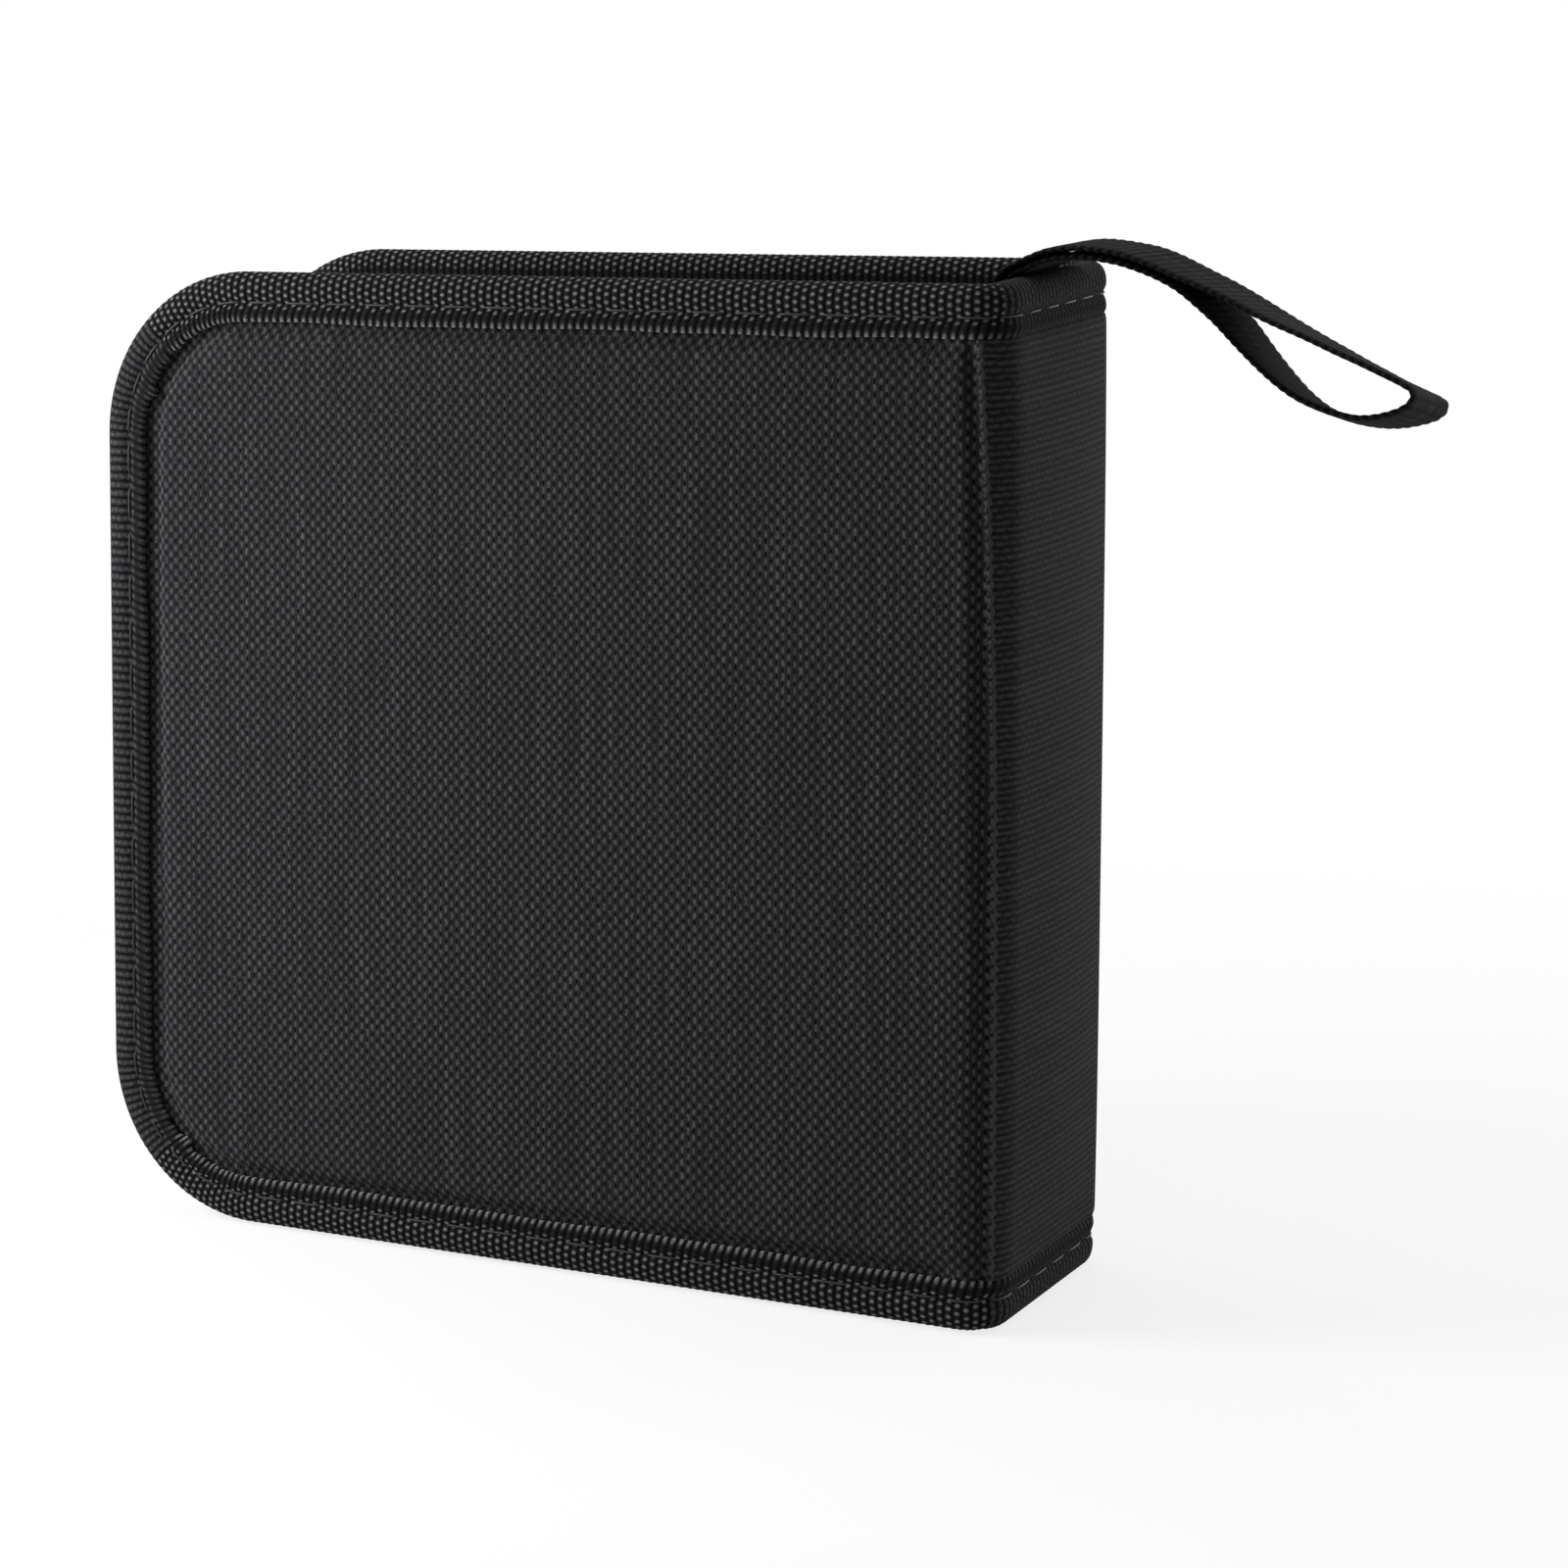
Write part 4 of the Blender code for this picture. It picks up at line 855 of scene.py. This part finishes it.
def strap_surface():
    """The webbing's closed outline, a flat lens with rounded selvedges, set square to the middle line everywhere."""
    across = np.concatenate([np.linspace(-1, 1, 15), np.linspace(1, -1, 15)[1:-1]])
    face = np.concatenate([np.ones(15), -np.ones(13)])
    face[[0, 14]] = 0.0
    along = np.gradient(strap_line[:, :2], axis=0)
    along /= np.linalg.norm(along, axis=1, keepdims=True)
    phase = np.linspace(0, strap_ribs, len(strap_line))
    rib = np.abs(np.cos(pi * phase))
    width = STRAP_HALF - 0.18 + 0.22 * rib
    thick = STRAP_THICK / 2 - 0.10 + 0.10 * rib
    edge = np.sqrt(np.maximum(1 - np.abs(across) ** 14, 0.0))
    y = width[:, None] * across[None, :]
    h = thick[:, None] * (face * np.where(face == 0, 0, np.maximum(edge, 0.35)))[None, :]
    x = strap_line[:, 0:1] - along[:, 1:2] * h
    z = RIM_TOP + strap_line[:, 1:2] + strap_line[:, 2:3] * y + along[:, 0:1] * h
    uv = np.stack(np.broadcast_arrays(phase[:, None], y), axis=-1)
    return np.stack([x, np.broadcast_to(y, x.shape), z], axis=-1), uv


rings, uv = strap_surface()
piece = swept("hand_strap_webbing", rings, uv, strap_webbing, "spine")
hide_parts("hand_strap")

# %% [markdown]
# Inside the rim of each cover stands the zip. Its knitted tape has an L-shaped section: a foot sewn
# to the lining and a wall that reaches towards the other cover. On the wall's edge sits a coil, one
# nylon wire wound into flat loops 1.6 mm apart. Both covers' zips run at the same level, although
# the back cover is taller. The coil is a helix with a squarish section, carried along the rim line.

# %% Zip tape and coil of the covers
ZIP_TAPE_X = -31.65
ZIP_MIDDLE = 9.95
COIL_PITCH = 1.6
COIL_PLACE = 2.4
COIL_WIDE = 1.6
COIL_THICK = 1.4
WIRE = 0.42
TAPE_SECTION = np.array([
    (15.5, 4.65), (15.5, 5.25), (13.5, 5.28), (11.3, 5.25), (10.6, 5.5), (10.35, 6.2), (10.3, 8.0), (10.3, 11.0),
    (10.3, 15.0), (10.3, 19.2), (9.95, 19.42), (9.6, 19.2), (9.6, 15.0), (9.6, 11.0), (9.58, 8.0), (9.55, 5.6),
    (9.7, 4.95), (10.3, 4.66), (12.8, 4.64),
])


def coil(name, centre, along, thick, wide, offset, body):
    """A wire wound round a line: its loops are flat ovals, and six points round each place make the wire."""
    steps = np.arange(len(centre))
    turn = 2 * pi * steps / COIL_STEPS + offset
    out = (COIL_WIDE - WIRE) * np.cos(turn)[:, None] * wide + (COIL_THICK - WIRE) * np.sin(turn)[:, None] * thick
    radial = out / np.linalg.norm(out, axis=1, keepdims=True)
    ring = np.linspace(0, 2 * pi, 6, endpoint=False)[None, :, None]
    points = (centre + out)[:, None] + WIRE * (np.cos(ring) * radial[:, None] + np.sin(ring) * along[:, None])
    uv = np.stack(np.broadcast_arrays(steps[:, None] * 0.5, ring[..., 0]), axis=-1)
    return swept(name, points, uv, coil_nylon, body)


COIL_STEPS = 12
for side, word in WORDS.items():
    total = rim_line(np.zeros(1), FRONT_HEIGHT, ZIP_TAPE_X)[4]
    s = np.linspace(0, total, 420)
    x, z, inward_x, inward_z, _ = (np.asarray(part)[..., None] for part in rim_line(s, FRONT_HEIGHT, ZIP_TAPE_X))
    inset, depth = TAPE_SECTION.T
    sway = 0.12 * np.sin(s / 8.3)[:, None] * (depth - 5) / 14
    rings = np.stack([x + (inset + sway) * inward_x, side * (HALF - depth) + 0 * x, z + (inset + sway) * inward_z], axis=-1)
    uv = np.stack(np.broadcast_arrays(s[:, None], np.arange(len(inset)) * 1.5), axis=-1)
    piece = swept(word + "_zip_cloth", rings, uv, zip_cloth, word + "_cover")
    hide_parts(word + "_zip_tape")
    s = np.arange(0.6, total - 0.6, COIL_PITCH / COIL_STEPS)
    x, z, inward_x, inward_z, _ = rim_line(s, FRONT_HEIGHT, ZIP_TAPE_X)
    zero = np.zeros_like(s)
    centre = np.stack([x + ZIP_MIDDLE * inward_x, zero + side * COIL_PLACE, z + ZIP_MIDDLE * inward_z], axis=-1)
    along = np.stack([-inward_z, zero, inward_x], axis=-1)
    thick = np.stack([inward_x, zero, inward_z], axis=-1)
    wide = np.stack([zero, zero + side, zero], axis=-1)
    piece = coil(word + "_zip_coil", centre, along, thick, wide, 0.0 if side < 0 else pi, word + "_cover")
    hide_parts(word + "_zip_row")
print("zip", round(float(total)), "mm round each cover,", round(float(total) / COIL_PITCH), "loops")

# %% [markdown]
# Near the spine the zip leaves the covers. Its last 2 cm hang loose between them: two strips of tape
# side by side, each with its coil along the inner edge, closed off by moulded stops and held by a
# folded tab of webbing that is sewn to the spine. There is one such end at the top and one below.

# %% Zip ends and tabs
TAIL_FROM, COIL_TO, TAIL_TO = -31.05, -15.15, -9.75
TAIL_EDGE = 12.0
TAB_FROM, TAB_TO, TAB_HALF, TAB_THICK, TAB_ROUND = -9.45, -3.05, 12.0, 1.2, 3.0
ZIP_LEVELS = {"top": FRONT_HEIGHT - ZIP_MIDDLE, "bottom": ZIP_MIDDLE}


def stitch_shape(length, rise):
    """A closed rod along the first axis: nine rings of six points whose height follows a flat-topped arch."""
    along = np.linspace(-0.5, 0.5, 9)
    lift = rise * (1 - np.abs(2 * along) ** 4)
    size = THREAD_RADIUS * (1 - 0.75 * np.abs(2 * along) ** 6)
    turn = np.linspace(0, 2 * pi, 6, endpoint=False)
    ring = np.stack(np.broadcast_arrays((along * length)[:, None], size[:, None] * np.cos(turn),
                                        lift[:, None] + size[:, None] * np.sin(turn)), axis=-1)
    points = ring.reshape(-1, 3)
    ends = np.array([[-0.5 * length, 0, 0], [0.5 * length, 0, 0]])
    quads = grid_faces(9, 6, around=True)
    fans = [[54, a, a + 1, (a + 2) % 6] for a in (0, 2)] + [[54, 4, 5, 0]]
    fans += [[55, 48 + (a + 2) % 6, 48 + a + 1, 48 + a] for a in (0, 2)] + [[55, 48, 53, 52]]
    return np.vstack([points, ends]), np.vstack([quads, np.array(fans)])


STITCH, STITCH_FACES = stitch_shape(STITCH_PITCH - 0.9, 0.35)
STITCH_UV = np.stack([STITCH[:, 0], STITCH[:, 1] * 6], axis=-1)


def seam(name, places, along, outward, body, shape=STITCH):
    """Puts one stitch at each place, laid along the seam with its arch outward."""
    along = along / np.linalg.norm(along, axis=1, keepdims=True)
    outward = outward / np.linalg.norm(outward, axis=1, keepdims=True)
    across = np.cross(outward, along)
    axes = np.stack([along, across, outward], axis=1)
    piece = scatter(name, shape, STITCH_FACES, places, axes, STITCH_UV, sewing_thread, body)
    return piece


def tail_tape(side, level):
    """A flat strip of knitted tape with fine ribs along it and a thicker selvedge at its free edge."""
    x = np.linspace(TAIL_FROM, TAIL_TO, 24)[:, None]
    y = np.linspace(COIL_PLACE + COIL_WIDE + 0.05, TAIL_EDGE, 33)[None, :]
    half = 0.30 + 0.04 * np.cos(2 * pi * y) + 0.10 * np.exp(-((y - TAIL_EDGE + 0.5) / 0.5) ** 2)
    x, y, half = np.broadcast_arrays(x, y, half)
    faces = [np.stack([x, side * y, level + sign * half], axis=-1) for sign in (1, -1)]
    return (*faces, np.stack([x, y], axis=-1))


def tab_rings(level):
    """A folded tab: a rounded flat outline carried from end to end, drawn in at the ends like a sewn corner."""
    y = TAB_HALF * np.sin(np.linspace(-pi / 2, pi / 2, 41)) * 0.999
    past = np.clip(np.abs(y) - TAB_HALF + TAB_ROUND, 0, TAB_ROUND) / TAB_ROUND
    shrink = (TAB_ROUND * (1 - np.sqrt(1 - past**2)))[:, None]
    turn = np.linspace(0, 2 * pi, 28, endpoint=False)[None, :]
    width = (TAB_TO - TAB_FROM) / 2 - shrink
    x = (TAB_FROM + TAB_TO) / 2 + width * np.sign(np.cos(turn)) * np.abs(np.cos(turn)) ** 0.4
    rib = 0.06 * np.abs(np.cos(pi * y / RIB_PITCH))[:, None]
    pressed = 1 - 0.25 * np.exp(-((np.abs(x - (TAB_FROM + TAB_TO) / 2) - 2.1) / 0.5) ** 2)
    z = level + (TAB_THICK - 0.08 + rib) * pressed * np.sign(np.sin(turn)) * np.abs(np.sin(turn)) ** 0.7
    uv = np.stack(np.broadcast_arrays(y[:, None] / RIB_PITCH, 3 * turn), axis=-1)
    return np.stack([x, np.broadcast_to(y[:, None], x.shape), z], axis=-1), uv


for place, level in ZIP_LEVELS.items():
    for side, word in WORDS.items():
        outer, inner, flat = tail_tape(side, level)
        piece = sheet(f"{word}_tail_cloth_{place}", outer, inner, flat, zip_cloth, "spine")
        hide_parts(f"{word}_zip_tail_{place}")
        x = np.arange(TAIL_FROM + 0.5, COIL_TO - 0.5, COIL_PITCH / COIL_STEPS)
        centre = np.stack([x, 0 * x + side * COIL_PLACE, 0 * x + level], axis=-1)
        along, thick, wide = (np.broadcast_to(axis, centre.shape) for axis in ((1.0, 0, 0), (0, 0, 1.0), (0, side, 0)))
        piece = coil(f"{word}_tail_coil_{place}", centre, along, thick, wide, 0.0 if side < 0 else pi, "spine")
        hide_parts(f"{word}_zip_tail_{place}")
    rings, uv = tab_rings(level)
    piece = swept("zip_tab_cloth_" + place, rings, uv, strap_webbing, "spine")
    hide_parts("zip_tab_" + place)
    y = np.arange(-9, 10, 2.6)
    lines = [(x, y, face) for x in (-8.35, -4.15) for face in (1, -1)]
    places = np.concatenate([np.stack([x + 0 * y, y, 0 * y + level + face * 0.80], axis=-1) for x, y, face in lines])
    outward = np.concatenate([np.stack([0 * y, 0 * y, 0 * y + face], axis=-1) for x, y, face in lines])
    along = np.broadcast_to((0.0, 1.0, 0.0), places.shape)
    small_stitch = STITCH * np.array([0.34, 0.8, 0.55])
    seam("zip_tab_seam_" + place, places, along, outward, "spine", small_stitch)
print("zip ends at levels", ZIP_LEVELS)

# %% [markdown]
# Twelve sleeves hang from a strip at the spine. Each leaf is a non-woven backing with a pocket of
# soft clear film welded on both sides. A pocket is open towards the fore edge, where its mouth is
# cut in a shallow curve for the thumb, and the film stands a little off the backing in its middle.

# %% Sleeves
LEAF_COUNT, LEAF_PITCH = 12, 2.6
LEAF_FREE, LEAF_ROOT, LEAF_LOW, LEAF_HIGH = -135.15, -5.95, 13.0, 143.0
ROOT_BACK = -3.15
LEAF_PLACES = (np.arange(LEAF_COUNT) - (LEAF_COUNT - 1) / 2) * LEAF_PITCH


def leaf_grid(free, root, low, high, corner, notch, rows=26, columns=22):
    """A rectangle in x and z whose free edge has rounded corners and a hollow in its middle."""
    share = np.linspace(0, 1, rows)[:, None] ** 1.3
    from_free = (root - free) * share
    cut = corner - np.sqrt(np.maximum(corner**2 - np.clip(corner - from_free, 0, corner) ** 2, 0.0))
    z = low + cut + (high - low - 2 * cut) * np.linspace(0, 1, columns)[None, :]
    hollow = notch * np.exp(-((z - (low + high) / 2) / 22) ** 2)
    return free + from_free + hollow * (1 - share), z


x, z = leaf_grid(LEAF_FREE, LEAF_ROOT + 0.3, LEAF_LOW, LEAF_HIGH, 5.0, 0.0)
wave = 0.06 * np.sin(x / 17) * np.sin(z / 21)
faces = [np.stack([x, wave + sign * 0.13, z], axis=-1) for sign in (1, -1)]
leaf, leaf_quads, leaf_walls = closed_sheet(*faces)
leaf_uv = np.tile(np.stack([x, z], axis=-1).reshape(-1, 2), (2, 1))
places = np.stack([0 * LEAF_PLACES, LEAF_PLACES, 0 * LEAF_PLACES], axis=-1)
upright = np.broadcast_to(np.eye(3), (LEAF_COUNT, 3, 3))
piece = scatter("sleeve_backings", leaf, leaf_quads, places, upright, leaf_uv, sleeve_backing, "spine", leaf_walls)
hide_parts("sleeve_pages")

x, z = leaf_grid(LEAF_FREE + 4.0, LEAF_ROOT - 1.5, LEAF_LOW + 1.0, LEAF_HIGH - 1.0, 1.0, 9.0)
to_edge = np.minimum(np.minimum(z - LEAF_LOW, LEAF_HIGH - z), LEAF_ROOT - x) - 1.0
loft = 0.20 + 0.16 * (1 - np.exp(-np.maximum(to_edge, 0) / 2.5)) + 0.02 * np.sin(x / 9 + z / 13)
faces = [np.stack([x, wave + loft + extra, z], axis=-1) for extra in (0.07, 0.0)]
film, film_quads, film_walls = closed_sheet(*faces)
film_uv = np.tile(np.stack([x, z], axis=-1).reshape(-1, 2), (2, 1))
for sign, name in ((1, "sleeve_films_back"), (-1, "sleeve_films_front")):
    turned = film * np.array([1, sign, 1])
    piece = scatter(name, turned, film_quads, places, upright, film_uv, sleeve_film, "spine", film_walls)
    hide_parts("sleeve_pages")

y = np.linspace(LEAF_PLACES[0] - 0.45, LEAF_PLACES[-1] + 0.45, 12 * 8 + 1)[:, None]
z = np.linspace(LEAF_LOW, LEAF_HIGH, 24)[None, :]
y, z = np.broadcast_arrays(y, z)
front = LEAF_ROOT + 0.5 * np.abs(np.sin(pi * y / LEAF_PITCH))
faces = [np.stack([x, y, z], axis=-1) for x in (front, np.full_like(y, ROOT_BACK))]
piece = sheet("sleeve_root", *faces, np.stack([y, z], axis=-1), sleeve_backing, "spine")
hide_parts("sleeve_pages")

STRIP_FROM, STRIP_TO, STRIP_HALF = -2.85, -1.85, 15.6
y = np.linspace(-STRIP_HALF, STRIP_HALF, 32)[:, None]
z = np.linspace(LEAF_LOW + 2, LEAF_HIGH - 2, 80)[None, :]
y, z = np.broadcast_arrays(y, z)
ribbing = 0.05 * np.cos(2 * pi * z / 2.0)
faces = [np.stack([x, y, z], axis=-1) for x in (STRIP_FROM + 0.1 + ribbing, STRIP_TO - 0.1 - ribbing)]
piece = sheet("sleeve_strip_cloth", *faces, np.stack([y, z], axis=-1), lining_cloth, "spine")
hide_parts("sleeve_strip")
print(LEAF_COUNT, "leaves of", LEAF_ROOT - LEAF_FREE, "by", LEAF_HIGH - LEAF_LOW, "mm")

# %% [markdown]
# The light is plain: an even white surround, a soft lamp close by on the left, whose light falls off
# towards the spine as in the picture, one behind on the right that grazes the spine, and one above. The floor fades to pure white away from the case, so
# only the soft shadow at its foot is left.

# %% Floor, surround and lamps
SURROUND_LEVEL = 0.25


def white_floor():
    """A wide square under the case, seen as white; near the case it also shows the shadow that falls on it."""
    made, tree, shader = new_finish("studio white floor", "#f4f4f4", 0.9)
    output = tree.nodes["Material Output"]
    place = add(tree, "ShaderNodeTexCoord")
    place = place.node.outputs["Object"]
    far = add(tree, "ShaderNodeVectorMath", {0: place}, operation="LENGTH")
    far = far.node.outputs["Value"]
    fade = add(tree, "ShaderNodeMapRange", {0: far, 1: 0.12, 2: 0.38, 3: 0.80, 4: 1.0}, clamp=True)
    rays = add(tree, "ShaderNodeLightPath").node.outputs
    seen = add(tree, "ShaderNodeMath", {0: rays["Is Camera Ray"], 1: rays["Is Glossy Ray"]}, operation="MAXIMUM")
    seen = add(tree, "ShaderNodeMath", {0: seen, 1: rays["Is Transmission Ray"]}, operation="MAXIMUM")
    share = add(tree, "ShaderNodeMath", {0: fade, 1: seen}, operation="MULTIPLY")
    glow = add(tree, "ShaderNodeEmission", {"Color": (1, 1, 1, 1), "Strength": 1.0})
    mixed = add(tree, "ShaderNodeMixShader", {0: share, 1: shader.outputs[0], 2: glow})
    tree.links.new(mixed, output.inputs["Surface"])
    return made


ground = bpy.data.meshes.new("floor")
ground.from_pydata([(-3, -3, -0.0003), (3, -3, -0.0003), (3, 3, -0.0003), (-3, 3, -0.0003)], [], [(0, 1, 2, 3)])
ground.materials.append(white_floor())
floor = bpy.data.objects.new("floor", ground)
bpy.context.scene.collection.objects.link(floor)

surround = bpy.data.worlds.new("surround")
surround.use_nodes = True
bpy.context.scene.world = surround
tree = surround.node_tree
background = tree.nodes["Background"]
background.inputs["Color"].default_value = (1, 1, 1, 1)
rays = add(tree, "ShaderNodeLightPath").node.outputs
seen = add(tree, "ShaderNodeMath", {0: rays["Is Camera Ray"], 1: rays["Is Glossy Ray"]}, operation="MAXIMUM")
seen = add(tree, "ShaderNodeMath", {0: seen, 1: rays["Is Transmission Ray"]}, operation="MAXIMUM")
strength = add(tree, "ShaderNodeMapRange", {0: seen, 1: 0.0, 2: 1.0, 3: SURROUND_LEVEL, 4: 1.0})
tree.links.new(strength, background.inputs["Strength"])


def soft_lamp(name, place, size, watts):
    """A square area lamp at a place in metres, turned to face the case and hidden from the camera."""
    light = bpy.data.lights.new(name, "AREA")
    light.size = size
    light.energy = watts
    lamp = bpy.data.objects.new(name, light)
    lamp.location = place
    lamp.rotation_euler = (Vector(CASE_MIDDLE) - Vector(place)).to_track_quat("-Z", "Y").to_euler()
    lamp.visible_camera = False
    bpy.context.scene.collection.objects.link(lamp)


CASE_MIDDLE = (-0.07, 0.0, 0.08)
soft_lamp("lamp left", (-0.34, -0.17, 0.20), 0.16, 1.5)
soft_lamp("lamp right", (0.38, 0.70, 0.14), 0.4, 2.6)
soft_lamp("lamp above", (-0.10, 0.10, 0.90), 0.5, 3.2)
print("surround level", SURROUND_LEVEL)
